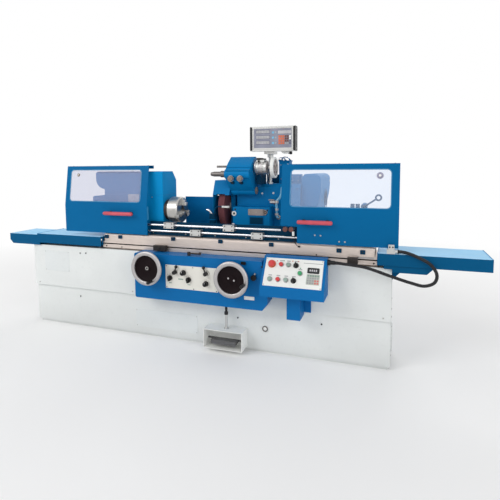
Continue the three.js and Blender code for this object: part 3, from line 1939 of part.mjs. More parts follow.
// Swivel table, heads and doors
put(swivelGroup, "swivel_table", swivelTable(), steel());
put(swivelGroup, "rail_plate", railPlate(), steel());
put(swivelGroup, "headstock_body", headstockBody(), blue());
put(swivelGroup, "headstock_cowl", headstockCowl(), blue());
put(swivelGroup, "chuck_body", chuckBody(), chrome());
for (const [i, degrees] of jawTurns.entries()) {
  const mesh = put(swivelGroup, "chuck_jaw_" + (i + 1), chuckJaw(), chrome());
  placedAt(mesh, 0, centreDepth, centreHeight).rotation.x = THREE.MathUtils.degToRad(degrees);
}
put(swivelGroup, "tailstock_body", tailstockBody(), blue());
put(swivelGroup, "tailstock_quill", tailstockQuill(), chrome());
put(swivelGroup, "tailstock_lever", tailstockLever(), black());
put(swivelGroup, "left_door_panel", leftDoorPanel(), blue());
put(swivelGroup, "left_door_window", windowPrism(leftDoor, seat, 0, sheet), clear());
put(swivelGroup, "upper_rod", doorRod(leftDoor), chrome());
put(swivelGroup, "right_door_panel", rightDoorPanel(), blue());
put(swivelGroup, "right_door_window", windowPrism(rightDoor, seat, 0, sheet), clear());
put(swivelGroup, "lower_rod", doorRod(rightDoor), chrome());

// Wheelhead, wheel, internal grinding head and readout
put(wheelheadGroup, "wheelhead_body", wheelheadBody(), blue());
put(wheelheadGroup, "wheel_guard", wheelGuard(), blue());
put(wheelheadGroup, "wheelhead_motor", wheelheadMotor(), blue());
put(wheelheadGroup, "internal_motor", internalMotor(), steel());
put(wheelheadGroup, "grinding_wheel", grindingWheel(), paint(0x6e4a58, 0.95));
put(wheelheadGroup, "internal_head", internalHead(), blue());
put(wheelheadGroup, "internal_spindle", internalSpindle(), black());
put(wheelheadGroup, "readout_box", readoutBox(), paint(0x2a2c2f, 0.5));

export default machine;
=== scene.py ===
# The looks of a cylindrical grinding machine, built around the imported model.
# Sizes are written in machine millimetres: y 0 is the plinth's front face, as in the CAD source.
import math

import bmesh
import bpy
from mathutils import Matrix, Vector


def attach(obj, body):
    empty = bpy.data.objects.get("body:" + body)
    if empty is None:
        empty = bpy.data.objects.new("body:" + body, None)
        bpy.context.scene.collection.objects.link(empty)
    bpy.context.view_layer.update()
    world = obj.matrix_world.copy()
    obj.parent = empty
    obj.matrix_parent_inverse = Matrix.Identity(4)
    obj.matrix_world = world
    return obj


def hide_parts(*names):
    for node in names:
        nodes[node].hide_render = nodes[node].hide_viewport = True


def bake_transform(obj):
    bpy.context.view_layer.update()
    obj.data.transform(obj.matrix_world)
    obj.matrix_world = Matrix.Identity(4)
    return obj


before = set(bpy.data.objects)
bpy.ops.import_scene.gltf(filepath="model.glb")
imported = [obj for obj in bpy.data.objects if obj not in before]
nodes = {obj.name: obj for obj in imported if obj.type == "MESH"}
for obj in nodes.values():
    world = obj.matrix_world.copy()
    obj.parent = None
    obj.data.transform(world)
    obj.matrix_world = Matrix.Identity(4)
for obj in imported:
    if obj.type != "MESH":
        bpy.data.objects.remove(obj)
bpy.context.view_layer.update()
scene = bpy.context.scene

MM = 0.001
FRONT = -145
TAU = math.pi * 2


def at(x, y, z):
    """A point in machine millimetres, in the frame's metres."""
    return Vector((x, y + FRONT, z)) * MM


# Camera
CAMERA_PLACE = (1.452, -2.845, 1.311)
YAW, PITCH, ROLL = (math.radians(angle) for angle in (19.2, 5.0, 0.4))
SENSOR = 36
FOCAL = 29.66
PRINCIPAL_SHIFT = (-0.002, -0.092)


def make_camera():
    flat = math.cos(PITCH)
    forward = Vector((-math.sin(YAW) * flat, math.cos(YAW) * flat, -math.sin(PITCH)))
    level = Vector((math.cos(YAW), math.sin(YAW), 0))
    down = forward.cross(level)
    right = math.cos(ROLL) * level + math.sin(ROLL) * down
    up = math.sin(ROLL) * level - math.cos(ROLL) * down
    data = bpy.data.cameras.new("camera")
    data.sensor_width = SENSOR
    data.lens = FOCAL
    data.shift_x, data.shift_y = PRINCIPAL_SHIFT
    data.clip_end = 100
    camera = bpy.data.objects.new("camera", data)
    scene.collection.objects.link(camera)
    turn = Matrix((right, up, -forward)).transposed().to_4x4()
    camera.matrix_world = Matrix.Translation(CAMERA_PLACE) @ turn
    scene.camera = camera


make_camera()


# Materials
def linear(*srgb):
    parts = [c / 255 for c in srgb]
    return [c / 12.92 if c <= 0.04045 else ((c + 0.055) / 1.055) ** 2.4 for c in parts] + [1]


def shade(colour, factor):
    return [min(c * factor, 1) for c in colour[:3]] + [1]


class Tree:
    """A node tree, with short calls to add and link nodes."""

    def __init__(self, owner):
        owner.use_nodes = True
        self.tree = owner.node_tree

    def add(self, kind, **values):
        node = self.tree.nodes.new(kind)
        for key, value in values.items():
            if key in node.inputs:
                node.inputs[key].default_value = value
            else:
                setattr(node, key, value)
        return node

    def link(self, source, target):
        self.tree.links.new(source, target)

    def blend_shaders(self, factor, first, second, output):
        mix = self.add("ShaderNodeMixShader")
        for i, socket in enumerate((factor, first.outputs[0], second.outputs[0])):
            self.link(socket, mix.inputs[i])
        self.link(mix.outputs[0], self.tree.nodes[output].inputs["Surface"])


class Nodes(Tree):
    """A new material with its node tree."""

    def __init__(self, name):
        self.material = bpy.data.materials.new(name)
        super().__init__(self.material)
        self.shader = self.tree.nodes["Principled BSDF"]

    def place(self):
        return self.add("ShaderNodeTexCoord").outputs["Object"]

    def noise(self, scale, detail=3, stretch=(1, 1, 1)):
        mapping = self.add("ShaderNodeMapping", Scale=stretch)
        self.link(self.place(), mapping.inputs["Vector"])
        noise = self.add("ShaderNodeTexNoise", Scale=scale, Detail=detail)
        self.link(mapping.outputs["Vector"], noise.inputs["Vector"])
        return noise.outputs["Fac"]

    def ranged(self, value, low, high, start=0.3, end=0.7):
        node = self.add("ShaderNodeMapRange")
        for socket, number in zip(("From Min", "From Max", "To Min", "To Max"), (start, end, low, high)):
            node.inputs[socket].default_value = number
        self.link(value, node.inputs["Value"])
        return node.outputs["Result"]

    def ramp(self, value, stops):
        node = self.add("ShaderNodeValToRGB")
        elements = node.color_ramp.elements
        while len(elements) < len(stops):
            elements.new(0.5)
        for element, (place, colour) in zip(elements, stops):
            element.position, element.color = place, colour
        self.link(value, node.inputs["Fac"])
        return node.outputs["Color"]

    def tones(self, value, base, low, high):
        return self.ramp(value, [(0.3, shade(base, low)), (0.7, shade(base, high))])

    def mix(self, factor, a, b):
        node = self.add("ShaderNodeMix", data_type="RGBA", blend_type="MIX")
        for socket, value in ((0, factor), (6, a), (7, b)):
            if isinstance(value, bpy.types.NodeSocket):
                self.link(value, node.inputs[socket])
            else:
                node.inputs[socket].default_value = value
        return node.outputs[2]

    def bump(self, value, strength, distance):
        node = self.add("ShaderNodeBump", Strength=strength, Distance=distance)
        self.link(value, node.inputs["Height"])
        self.link(node.outputs["Normal"], self.shader.inputs["Normal"])

    def set(self, **values):
        for key, value in values.items():
            self.shader.inputs[key.replace("_", " ")].default_value = value

    def colour(self, socket):
        self.link(socket, self.shader.inputs["Base Color"])

    def roughness(self, socket):
        self.link(socket, self.shader.inputs["Roughness"])


def enamel(name, srgb, rough, coat=0.25, low_darkening=0.0, specular=0.07):
    """Sprayed enamel: slow changes of tone, faint orange peel, and a darkening towards the bottom."""
    n = Nodes(name)
    base = linear(*srgb)
    tone = n.tones(n.noise(1.7, 4), base, 0.93, 1.06)
    fleck = n.ranged(n.noise(38, 5), 0, 0.16, 0.56, 0.74)
    worn = n.mix(fleck, tone, shade(base, 0.8))
    if low_darkening:
        # darker towards the bottom: the colour is mixed with a darker tone at the floor, fading out by 0.22 m
        # up
        split = n.add("ShaderNodeSeparateXYZ")
        n.link(n.place(), split.inputs["Vector"])
        low = n.ranged(split.outputs["Z"], low_darkening, 0, 0.0, 0.22)
        worn = n.mix(low, worn, shade(base, 0.55))
    n.colour(worn)
    n.roughness(n.ranged(n.noise(9, 4), rough - 0.06, rough + 0.1))
    n.bump(n.noise(420, 2), 0.12, 0.0004)
    n.set(Coat_Weight=coat, Coat_Roughness=0.2, IOR=1.5, Specular_IOR_Level=specular)
    return n.material


def metal(name, srgb, rough, stretch=(1, 1, 1), scale=90, contrast=0.18, grain=0.0003):
    """Machined metal: fine lines along the stretched axis, in tone, roughness and bump."""
    n = Nodes(name)
    base = linear(*srgb)
    lines = n.noise(scale, 4, stretch)
    tone = n.tones(lines, base, 1 - contrast, 1 + contrast / 2)
    smear = n.ranged(n.noise(6, 4), 0, 0.25, 0.45, 0.75)
    n.colour(n.mix(smear, tone, shade(base, 0.78)))
    n.roughness(n.ranged(lines, rough - 0.08, rough + 0.12))
    n.bump(lines, 0.25, grain)
    n.set(Metallic=1.0)
    return n.material


def plastic(name, srgb, rough, scale=700, bumpy=0.2, coat=0.0, specular=0.35):
    n = Nodes(name)
    base = linear(*srgb)
    n.colour(n.tones(n.noise(14, 4), base, 0.85, 1.12))
    n.roughness(n.ranged(n.noise(30, 3), rough - 0.05, rough + 0.1))
    n.bump(n.noise(scale, 2), bumpy, 0.0002)
    n.set(Coat_Weight=coat, Specular_IOR_Level=specular)
    return n.material


def clear_sheet(name, srgb, alpha):
    n = Nodes(name)
    n.colour(n.tones(n.noise(3, 3), linear(*srgb), 0.95, 1))
    n.roughness(n.ranged(n.noise(22, 4), 0.05, 0.14))
    n.set(Alpha=alpha, IOR=1.49)
    return n.material


def grit(name, srgb):
    """Bonded abrasive: grains of several tones with open pores."""
    n = Nodes(name)
    base = linear(*srgb)
    cells = n.add("ShaderNodeTexVoronoi", Scale=520)
    n.link(n.place(), cells.inputs["Vector"])
    grains = n.ramp(cells.outputs["Distance"], [(0.1, shade(base, 1.35)), (0.6, shade(base, 0.7))])
    n.colour(n.mix(n.ranged(n.noise(5, 4), 0.0, 0.35), grains, shade(base, 0.75)))
    n.bump(cells.outputs["Distance"], 0.5, 0.0006)
    n.set(Roughness=0.95)
    return n.material


# the cream enamel grows darker towards the bottom
CREAM = enamel("cream_enamel", (226, 229, 228), 0.5, 0.1, low_darkening=0.22)
CREAM_PLAIN = enamel("cream_panel", (232, 230, 222), 0.45, 0.15)
BLUE = enamel("blue_enamel", (0, 100, 154), 0.42, 0.02)
# a paler blue for strips along edges: painted highlights
EDGE_HIGHLIGHT_BLUE = enamel("painted_edge_highlight", (50, 142, 194), 0.38, 0.05)
# lighter copies of the blue enamel, raised to make up for the shade on the headstock and the wheelhead:
# painted light
LIT_HEAD_BLUE = enamel("head_enamel", (4, 138, 200), 0.42, 0.02)
LIT_WHEEL_BLUE = enamel("wheelhead_enamel", (2, 120, 182), 0.42, 0.02)
# pale blue for the way covers' up-facing tops: a painted sheen, the bright ceiling as it shows on the tops
TOP_SHEEN_BLUE = enamel("painted_top_sheen", (152, 212, 250), 0.4, 0.1)
TEAL = enamel("teal_enamel", (0, 102, 162), 0.45, 0.02)
DARK_TEAL = enamel("dark_teal_enamel", (0, 56, 86), 0.45, 0.02)
ROYAL = enamel("royal_enamel", (16, 106, 170), 0.42, 0.02)
DEEP = enamel("cover_enamel", (0, 84, 128), 0.46, 0.02)
WHITE = enamel("white_panel", (238, 239, 236), 0.4, 0.2)
PLATE = enamel("plate_panel", (222, 226, 226), 0.4, 0.2)
DARK = enamel("dark_enamel", (36, 38, 42), 0.42)
TABLE = metal("scraped_iron", (216, 204, 196), 0.5, (0.35, 6, 6), 60, 0.12)
STEEL = metal("turned_steel", (190, 188, 184), 0.32, (1, 1, 1), 160, 0.2)
SATIN = metal("satin_steel", (186, 183, 183), 0.42, (1, 1, 1), 240, 0.12, 0.0001)
DARK_STEEL = metal("dark_steel", (116, 112, 110), 0.42, (1, 1, 1), 200, 0.2)
CHROME = metal("bright_chrome", (226, 226, 230), 0.16, (0.3, 3, 3), 40, 0.08, 0.0001)
ALUMINIUM = metal("cast_aluminium", (206, 206, 204), 0.4, (1, 1, 1), 300, 0.12)
BRASS = metal("oil_cup_brass", (176, 140, 72), 0.34, (1, 1, 1), 200, 0.14)
BLACK = plastic("black_plastic", (24, 24, 26), 0.38)
DISH = plastic("dark_dish", (22, 12, 15), 0.5, 420, 0.3, 0.0, 0.1)
RUBBER = plastic("black_rubber", (34, 33, 36), 0.55, 900, 0.35)
GASKET = plastic("window_gasket", (60, 134, 178), 0.5, 800, 0.2)
LAVENDER = plastic("grey_knob", (158, 156, 178), 0.4, 800, 0.1, 0.2)
TREAD = plastic("grey_tread", (96, 96, 98), 0.6, 500, 0.35)
OXIDE = plastic("black_oxide", (44, 38, 36), 0.48, 400, 0.3)
RED_GRIP = plastic("red_grip", (206, 84, 98), 0.42, 600, 0.25)
RED = plastic("red_cap", (200, 48, 50), 0.3, 900, 0.1, 0.4)
PINK = plastic("pink_key", (214, 128, 122), 0.42, 900, 0.1)
GREEN = plastic("green_cap", (50, 150, 96), 0.3, 900, 0.1, 0.4)
GREY_GREEN = plastic("grey_green_cap", (138, 160, 150), 0.32, 900, 0.1, 0.4)
ORANGE = plastic("orange_key", (220, 118, 84), 0.4, 900, 0.1)
PINK_GREY = plastic("brass_grey", (134, 118, 108), 0.36, 300, 0.2, 0.3)
BROWN = plastic("brown_roller", (112, 72, 66), 0.5, 400, 0.3)
SCREEN = plastic("screen_field", (140, 142, 158), 0.34, 900, 0.05, 0.3)
SCREEN_EDGE = plastic("screen_edge", (104, 104, 122), 0.34, 900, 0.05, 0.3)
DIGITS = plastic("digit_window", (196, 194, 198), 0.25, 900, 0.05, 0.5)
LABEL_GREY = plastic("grey_label", (168, 170, 172), 0.45, 900, 0.05)
KEY_BLUE = plastic("pale_blue_key", (122, 184, 216), 0.36, 900, 0.05, 0.3)
PLATE_GREY = plastic("grey_brown_plate", (158, 148, 144), 0.45, 500, 0.15, 0.1)
LCD = plastic("dark_display", (30, 34, 36), 0.15, 900, 0.03, 0.6)
KEYPAD = plastic("pale_keypad", (196, 202, 192), 0.5, 800, 0.1)
PANE_LEFT = clear_sheet("tinted_sheet", (182, 186, 216), 0.3)
PANE_RIGHT = clear_sheet("clear_sheet", (200, 222, 255), 0.2)
ABRASIVE = grit("abrasive", (122, 70, 76))
LABEL = plastic("bare_label", (236, 236, 234), 0.5, 900, 0.05)


# CAD nodes: rounded edges and materials, with zones of a second material
BEVEL_ANGLE = math.radians(38)
FLAT_ANGLE = math.radians(0.6)
WELD_DISTANCE = 0.00002

# The console's sloping panel: its lower edge, its lean and its length up the slope
PANEL_Y, PANEL_Z = -230, 550
PANEL_LEAN = math.atan2(118, 178)
PANEL_LENGTH = math.hypot(118, 178)
PANEL_TURN = Matrix.Translation((0, PANEL_Y, PANEL_Z)) @ Matrix.Rotation(-PANEL_LEAN, 4, "X")
PANEL_FACE = -3

# The readout's own frame
READOUT_X, READOUT_Y, READOUT_YAW = 582, 330, math.radians(2)
READOUT_BOTTOM, READOUT_HEIGHT = 1436, 184


def machine_place(polygon):
    c = polygon.center
    return c.x / MM, c.y / MM - FRONT, c.z / MM


def smooth_faces(mesh):
    mesh.polygons.foreach_set("use_smooth", [True] * len(mesh.polygons))


def add_bevel(obj, width, segments=2):
    bevel = obj.modifiers.new("edges", "BEVEL")
    bevel.width = width * MM
    bevel.segments = segments
    bevel.limit_method = "ANGLE"
    bevel.angle_limit = BEVEL_ANGLE
    bevel.harden_normals = False
    obj.modifiers.new("normals", "WEIGHTED_NORMAL").keep_sharp = True


def dress(name, material, bevel=1.5, zones=()):
    obj = nodes[name]
    mesh = obj.data
    bpy.context.view_layer.objects.active = obj
    if mesh.has_custom_normals:
        bpy.ops.mesh.customdata_custom_splitnormals_clear()
    mesh.materials.clear()
    mesh.materials.append(material)
    for number, (zone_material, test) in enumerate(zones, 1):
        mesh.materials.append(zone_material)
        for polygon in mesh.polygons:
            if test(*machine_place(polygon), polygon.normal):
                polygon.material_index = number
    smooth_faces(mesh)
    weld = obj.modifiers.new("weld", "WELD")
    weld.merge_threshold = WELD_DISTANCE
    flat = obj.modifiers.new("flat", "DECIMATE")
    flat.decimate_type = "DISSOLVE"
    flat.angle_limit = FLAT_ANGLE
    flat.delimit = {"MATERIAL"}
    add_bevel(obj, bevel)


def within(x=None, y=None, z=None):
    limits = (x, y, z)
    return lambda *place: all(
        limit is None or limit[0] <= value <= limit[1] for limit, value in zip(limits, place)
    )


def panel_depth(y, z):
    """How far a point lies out of the console's slope: negative in front of it."""
    return (y - PANEL_Y) * math.cos(PANEL_LEAN) - (z - PANEL_Z) * math.sin(PANEL_LEAN)


def readout_across(x, y):
    """How far a point lies from the readout's middle, along its front."""
    return (x - READOUT_X) * math.cos(READOUT_YAW) + (y - READOUT_Y) * math.sin(READOUT_YAW)


PLAIN_NODES = (
    (DEEP, 1, "right_tray"),
    (TEAL, 0.8, "rear_splash_shield"),
    (TREAD, 2, "foot_pedal"),
    (OXIDE, 1.5, "reversing_lever"),
    (OXIDE, 2, "left_trip_dog right_trip_dog"),
    (ALUMINIUM, 1.5, "hose_clamp"),
    (ALUMINIUM, 1, "chuck_jaw_1 chuck_jaw_2 chuck_jaw_3"),
    (TABLE, 1.2, "swivel_table"),
    (LIT_HEAD_BLUE, 5, "headstock_cowl"),
    (CHROME, 1, "tailstock_quill"),
    (CHROME, 0.8, "upper_rod lower_rod"),
    (BLACK, 1, "tailstock_lever"),
    (PANE_LEFT, 0.6, "left_door_window"),
    (PANE_RIGHT, 0.6, "right_door_window"),
    (LIT_WHEEL_BLUE, 2, "wheel_guard"),
    (LIT_WHEEL_BLUE, 6, "wheelhead_motor"),
    (DARK_STEEL, 1, "internal_spindle"),
    (BLACK, 1.2, "table_feed_lever infeed_lever left_speed_knob right_speed_knob dwell_knob"),
    (BLACK, 1.2, "left_selector_knob right_selector_knob feed_selector work_selector"),
    (RED, 1.2, "emergency_stop stop_button wheel_stop_button"),
    (GREY_GREEN, 1.2, "pump_button jog_button wheel_start_button"),
    (GREEN, 1.2, "start_button"),
)


def dress_nodes():
    for material, bevel, names in PLAIN_NODES:
        for name in names.split():
            dress(name, material, bevel)
    dress("lower_plinth", CREAM, 4, [(PLATE, within((-458, 83), (-2.1, -0.5), (70, 212)))])
    dress("upper_bed", CREAM, 4, [
        (PLATE, within((-1334, -1078), (-22.1, -20.5), (460, 630))),
        (TABLE, within(z=(676.5, 720))),
    ])
    dress("apron_housing", ROYAL, 3, [
        (CREAM_PLAIN, within((-99.5, 312.5), (-140, -136.5), (449, 621))),
    ])
    dress("operator_box", ROYAL, 2.5, [
        (WHITE, lambda x, y, z, n: 655 < x < 1050 and z > 540 and -3.5 < panel_depth(y, z) < -0.5),
        (BLACK, lambda x, y, z, n: x > 1061),
    ])
    dress("pedal_box", WHITE, 1.5, [
        (ALUMINIUM, within(z=(168.2, 272))),
        (RUBBER, lambda x, y, z, n: z > 272),
    ])
    # the covers' up-facing tops take the pale blue: painted sheen over the deep blue enamel
    for name in ("left_end_cover", "left_way_cover", "right_way_cover"):
        dress(name, DEEP, 1.2, [(TOP_SHEEN_BLUE, lambda x, y, z, n: n.z > 0.5 and z > 760)])
    # the inside of the table's front slot is near-black: painted shade in the slot
    dress("lower_table", TABLE, 1.2, [(DISH, within((-733, 1359), (-19.5, 2), (714, 730)))])
    dress("rail_plate", DARK_TEAL, 1.2, [(ALUMINIUM, lambda x, y, z, n: y < 37.5 and x < 732)])
    # the headstock in its lightened blue: painted light
    dress("headstock_body", LIT_HEAD_BLUE, 4, [(STEEL, within((-224.5, -200)))])
    dress("chuck_body", STEEL, 1.5, [(OXIDE, within((-222, -182)))])
    dress("tailstock_body", BLUE, 3, [(BLACK, within((1170, 1240), z=(1041, 1080)))])
    handle = within(y=(-80, -50.5))
    posts = within(y=(-62, -20.5))
    rod_blocks = within(y=(-16.5, 30), z=(820, 900))
    for side, highlight_edge in (("left", (-345, -319)), ("right", (729, 755))):
        dress(side + "_door_panel", BLUE, 1.2, [
            (RED_GRIP, handle),
            (BLACK, lambda *place: posts(*place) and not handle(*place)),
            (STEEL, rod_blocks),
            # a pale strip along the door's inner edge: painted highlight
            (EDGE_HIGHLIGHT_BLUE, within(highlight_edge, (-21, 6), (921, 1022))),
        ])
    # the wheelhead in its lightened blue: painted light
    dress("wheelhead_body", LIT_WHEEL_BLUE, 5, [
        (TABLE, within(z=(680, 781))),
        (ALUMINIUM, within((500, 553), z=(1186, 1420))),
    ])
    # the motor's mount, under and behind its near end, in dark teal: a real part, with shade painted into its
    # blue
    dress("internal_motor", ALUMINIUM, 1, [
        (DARK_TEAL, lambda x, y, z, n: x < 490 and (z < 1260 or y > 353)),
    ])
    dress("grinding_wheel", ABRASIVE, 1, [
        (STEEL, lambda x, y, z, n: not 137.9 < x < 190.1 or (x in (138, 190))),
    ])
    dress("internal_head", LIT_WHEEL_BLUE, 3, [
        (PINK_GREY, within((270, 396), (140, 165.5), (1209, 1256))),
        (DARK_STEEL, within((149, 239.5))),
    ])
    dress("readout_box", ALUMINIUM, 2, [
        (BLACK, lambda x, y, z, n: z > READOUT_BOTTOM + 0.5 and abs(readout_across(x, y)) > 157.5),
    ])


dress_nodes()


# New pieces
TIP = 0.01
SCREW_RADIUS = 4.5
COVER_LIFT = 2.5


def rounded_rect(a, b, radius, steps=3):
    """A rectangle between the limits a and b, with rounded corners."""
    made = []
    corners = ((a[1], b[0], -90), (a[1], b[1], 0), (a[0], b[1], 90), (a[0], b[0], 180))
    for (u, v, start), (su, sv) in zip(corners, ((-1, 1), (-1, -1), (1, -1), (1, 1))):
        for i in range(steps + 1):
            angle = math.radians(start + 90 * i / steps)
            made.append((
                u + su * radius + radius * math.cos(angle),
                v + sv * radius + radius * math.sin(angle),
            ))
    return made


def circle(centre, radius, sides, start=0.0):
    """Points round a circle; start is a share of one side."""
    turns = [TAU * (i + start) / sides for i in range(sides)]
    return [(centre[0] + radius * math.cos(a), centre[1] + radius * math.sin(a)) for a in turns]


def hexagon(centre, radius):
    return circle(centre, radius, 6, 0.5)


def corners_of(x, z, inset):
    return [(a, b) for a in (x[0] + inset, x[1] - inset) for b in (z[0] + inset, z[1] - inset)]


def placed(axis, u, v, along):
    """The point at a distance along an axis; u and v are its place in the other two."""
    return {"x": (along, u, v), "y": (u, along, v), "z": (u, v, along)}[axis]


class Form:
    """A mesh in machine millimetres, built of closed parts, each with its material."""

    def __init__(self):
        self.bm = bmesh.new()
        self.materials = []

    def paint(self, faces, material):
        if material not in self.materials:
            self.materials.append(material)
        index = self.materials.index(material)
        for face in faces:
            face.material_index = index

    def shell(self, rings, material, capped=True, looped=False):
        """Skins rings of equal length; capped closes the first and last ring."""
        made = [[self.bm.verts.new(p) for p in ring] for ring in rings]
        count = len(made[0])
        pairs = list(zip(made, made[1:])) + ([(made[-1], made[0])] if looped else [])
        faces = []
        for low, high in pairs:
            for i in range(count):
                j = (i + 1) % count
                faces.append(self.bm.faces.new((low[i], low[j], high[j], high[i])))
        if capped and not looped:
            faces.append(self.bm.faces.new(made[0][::-1]))
            faces.append(self.bm.faces.new(made[-1]))
        self.paint(faces, material)
        return [v for ring in made for v in ring]

    def block(self, x, y, z, material):
        base = [(x[0], y[0]), (x[1], y[0]), (x[1], y[1]), (x[0], y[1])]
        return self.prism("z", base, *z, material)

    def prism(self, axis, outline, low, high, material):
        rings = [[placed(axis, u, v, along) for u, v in outline] for along in (low, high)]
        return self.shell(rings, material)

    def slab(self, axis, across, up, corner, low, high, material):
        """A plate with rounded corners between two planes across the axis."""
        return self.prism(axis, rounded_rect(across, up, corner), low, high, material)

    def lathe(self, axis, centre, profile, material, sides=32, looped=False):
        """Turns (radius, distance) pairs about an axis; the centre is its place in the other two."""
        rings = [[placed(axis, u, v, along) for u, v in circle(centre, radius, sides)]
                 for radius, along in profile]
        return self.shell(rings, material, looped=looped)

    def solid(self, axis, centre, profile, material, sides=20):
        """A turned shape whose two ends close on the axis."""
        closed = [(TIP, profile[0][1]), *profile, (TIP, profile[-1][1])]
        return self.lathe(axis, centre, closed, material, sides)

    def ring(self, axis, centre, inner, outer, low, high, material, sides=28):
        profile = [(inner, low), (outer, low), (outer, high), (inner, high)]
        return self.lathe(axis, centre, profile, material, sides, looped=True)

    def torus(self, axis, centre, radius, tube, along, material, sides=28, round_sides=8):
        self.lathe(axis, centre, circle((radius, along), tube, round_sides), material, sides, looped=True)

    def tube(self, points, radius, material, sides=12):
        """A round bar or pipe along points; radius may be a list, one for each point."""
        points = [Vector(p) for p in points]
        radii = radius if isinstance(radius, list) else [radius] * len(points)
        up = Vector((0, 0, 1))
        rings = []
        for i, p in enumerate(points):
            along = (points[min(i + 1, len(points) - 1)] - points[max(i - 1, 0)]).normalized()
            if not rings:
                side = along.cross(up if abs(along.z) < 0.9 else Vector((0, 1, 0))).normalized()
            side = (side - along * side.dot(along)).normalized()
            over = along.cross(side)
            rings.append([p + side * a + over * b for a, b in circle((0, 0), radii[i], sides)])
        return self.shell(rings, material)

    def screws(self, spots, face, radius=SCREW_RADIUS, material=STEEL, axis="y", out=-1):
        """Screw heads on a face, each with a round recess."""
        profile = [(0.95, 0), (1, 0.21), (0.9, 0.7), (0.5, 0.7), (0.45, 0.245)]
        shape = [(radius * r, face + out * radius * h) for r, h in profile]
        for spot in spots:
            self.lathe(axis, spot, [*shape, (TIP, shape[-1][1])], material, 12)

    def rivets(self, spots, face, radius):
        profile = [(radius, 0), (radius * 0.9, 0.9), (radius * 0.55, 1.7), (TIP, 2.0)]
        for spot in spots:
            self.lathe("y", spot, [(r, face - h) for r, h in profile], STEEL, 10)

    def plate(self, x, z, face, depth, material, corner=3.0):
        """A rounded plate that stands out of a front face."""
        return self.slab("y", x, z, corner, face - depth, face, material)

    def cover(self, axis, across, up, face, out, corner, inset, material, radius=5, middle=False):
        """A sheet cover with a screw near each corner, and at the middle of its two long sides."""
        spots = corners_of(across, up, inset)
        if middle:
            spots += [(sum(across) / 2, place) for place in (up[0] + inset, up[1] - inset)]
        outside = face + out * COVER_LIFT
        self.slab(axis, across, up, corner, outside, face, material)
        self.screws(spots, outside, radius, STEEL, axis, out)

    def louvres(self, x, z, face, count, material):
        """Pressed air slots in a back face, as a row of small closed hoods."""
        pitch = (z[1] - z[0]) / count
        depth, tall = pitch * 0.32, pitch * 0.62
        hood = [(0, 0), (depth * 0.8, -tall * 0.55), (depth, -tall), (0, -tall)]
        for i in range(count):
            top = z[1] - pitch * (i + 0.15)
            self.prism("x", [(face + a, top + b) for a, b in hood], *x, material)

    def turn(self, verts, matrix):
        bmesh.ops.transform(self.bm, matrix=matrix, verts=verts)

    def done(self, name, body, bevel=0.0, segments=1):
        bmesh.ops.recalc_face_normals(self.bm, faces=self.bm.faces)
        for vert in self.bm.verts:
            vert.co = at(*vert.co)
        mesh = bpy.data.meshes.new(name)
        self.bm.to_mesh(mesh)
        self.bm.free()
        for material in self.materials:
            mesh.materials.append(material)
        smooth_faces(mesh)
        obj = bpy.data.objects.new(name, mesh)
        scene.collection.objects.link(obj)
        if bevel:
            add_bevel(obj, bevel, segments)
        if body:
            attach(obj, body)
        return obj


def with_ends(points):
    """The points as groups of four for a curve, with a mirrored point added at each end."""
    ends = [points[0] * 2 - points[1], *points, points[-1] * 2 - points[-2]]
    return zip(ends, ends[1:], ends[2:], ends[3:])


def smooth_path(points, steps=6):
    """A Catmull-Rom curve through the points."""
    points = [Vector(p) for p in points]
    made = []
    for a, b, c, d in with_ends(points):
        for i in range(steps):
            t = i / steps
            bend = (2 * a - 5 * b + 4 * c - d) * t ** 2 + (3 * b - a - 3 * c + d) * t ** 3
            made.append(0.5 * (2 * b + (c - a) * t + bend))
    return made + [points[-1]]


# The ribbed conduit, a free cord, in place of the CAD hose
HOSE_START, HOSE_END = (1105.3, -95, 706), (1480.3, -34, 789.3)
HOSE_ROUTE = [
    (1150, -95, 704), (1290, -92, 690), (1440, -84, 645), (1560, -80, 611), (1636, -78, 598),
    (1690, -77, 622), (1703, -75, 668), (1672, -72, 724), (1610, -68, 762), (1548, -58, 785),
]
HOSE_RADIUS, HOSE_VALLEY, HOSE_PLAIN, HOSE_RIBS = 10.5, 8.4, 21, 150


def centripetal(points, steps):
    """The same centripetal curve as the CAD hose follows."""
    points = [Vector(p) for p in points]
    made = []
    for group in with_ends(points):
        knots = [0.0]
        for a, b in zip(group, group[1:]):
            knots.append(knots[-1] + (b - a).length ** 0.5)

        def between(a, b, low, high, t):
            return a.lerp(b, (t - knots[low]) / (knots[high] - knots[low]))

        for i in range(steps):
            t = knots[1] + (knots[2] - knots[1]) * i / steps
            first, second, third = (between(group[k], group[k + 1], k, k + 1, t) for k in range(3))
            early, late = between(first, second, 0, 2, t), between(second, third, 1, 3, t)
            made.append(between(early, late, 1, 2, t))
    return made + [points[-1]]


def measured(points):
    along = [0.0]
    for a, b in zip(points, points[1:]):
        along.append(along[-1] + (b - a).length)
    return along


def point_on(points, along, distance):
    for i in range(1, len(along)):
        if distance <= along[i]:
            share = (distance - along[i - 1]) / max(along[i] - along[i - 1], 1e-9)
            return points[i - 1].lerp(points[i], share)
    return points[-1]


def conduit():
    first = (HOSE_START[0] + HOSE_PLAIN, *HOSE_START[1:])
    last = (HOSE_END[0] + HOSE_PLAIN, *HOSE_END[1:])
    line = centripetal([HOSE_START, first, *HOSE_ROUTE, last, HOSE_END], 40)
    along = measured(line)
    length = along[-1]
    ribbed = length - HOSE_PLAIN * 2
    stations = [(0, HOSE_RADIUS), (HOSE_PLAIN * 0.9, HOSE_RADIUS)]
    shape = [(0.1, HOSE_VALLEY), (0.3, HOSE_VALLEY), (0.45, HOSE_RADIUS), (0.85, HOSE_RADIUS)]
    for i in range(HOSE_RIBS):
        stations += [(HOSE_PLAIN + ribbed * (i + share) / HOSE_RIBS, radius) for share, radius in shape]
    stations += [(length - HOSE_PLAIN * 0.9, HOSE_RADIUS), (length, HOSE_RADIUS)]
    form = Form()
    form.tube([point_on(line, along, d) for d, _ in stations], [r for _, r in stations], RUBBER, 20)
    piece = form.done("ribbed_conduit", None)
    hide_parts("conduit_hose")
    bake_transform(piece)


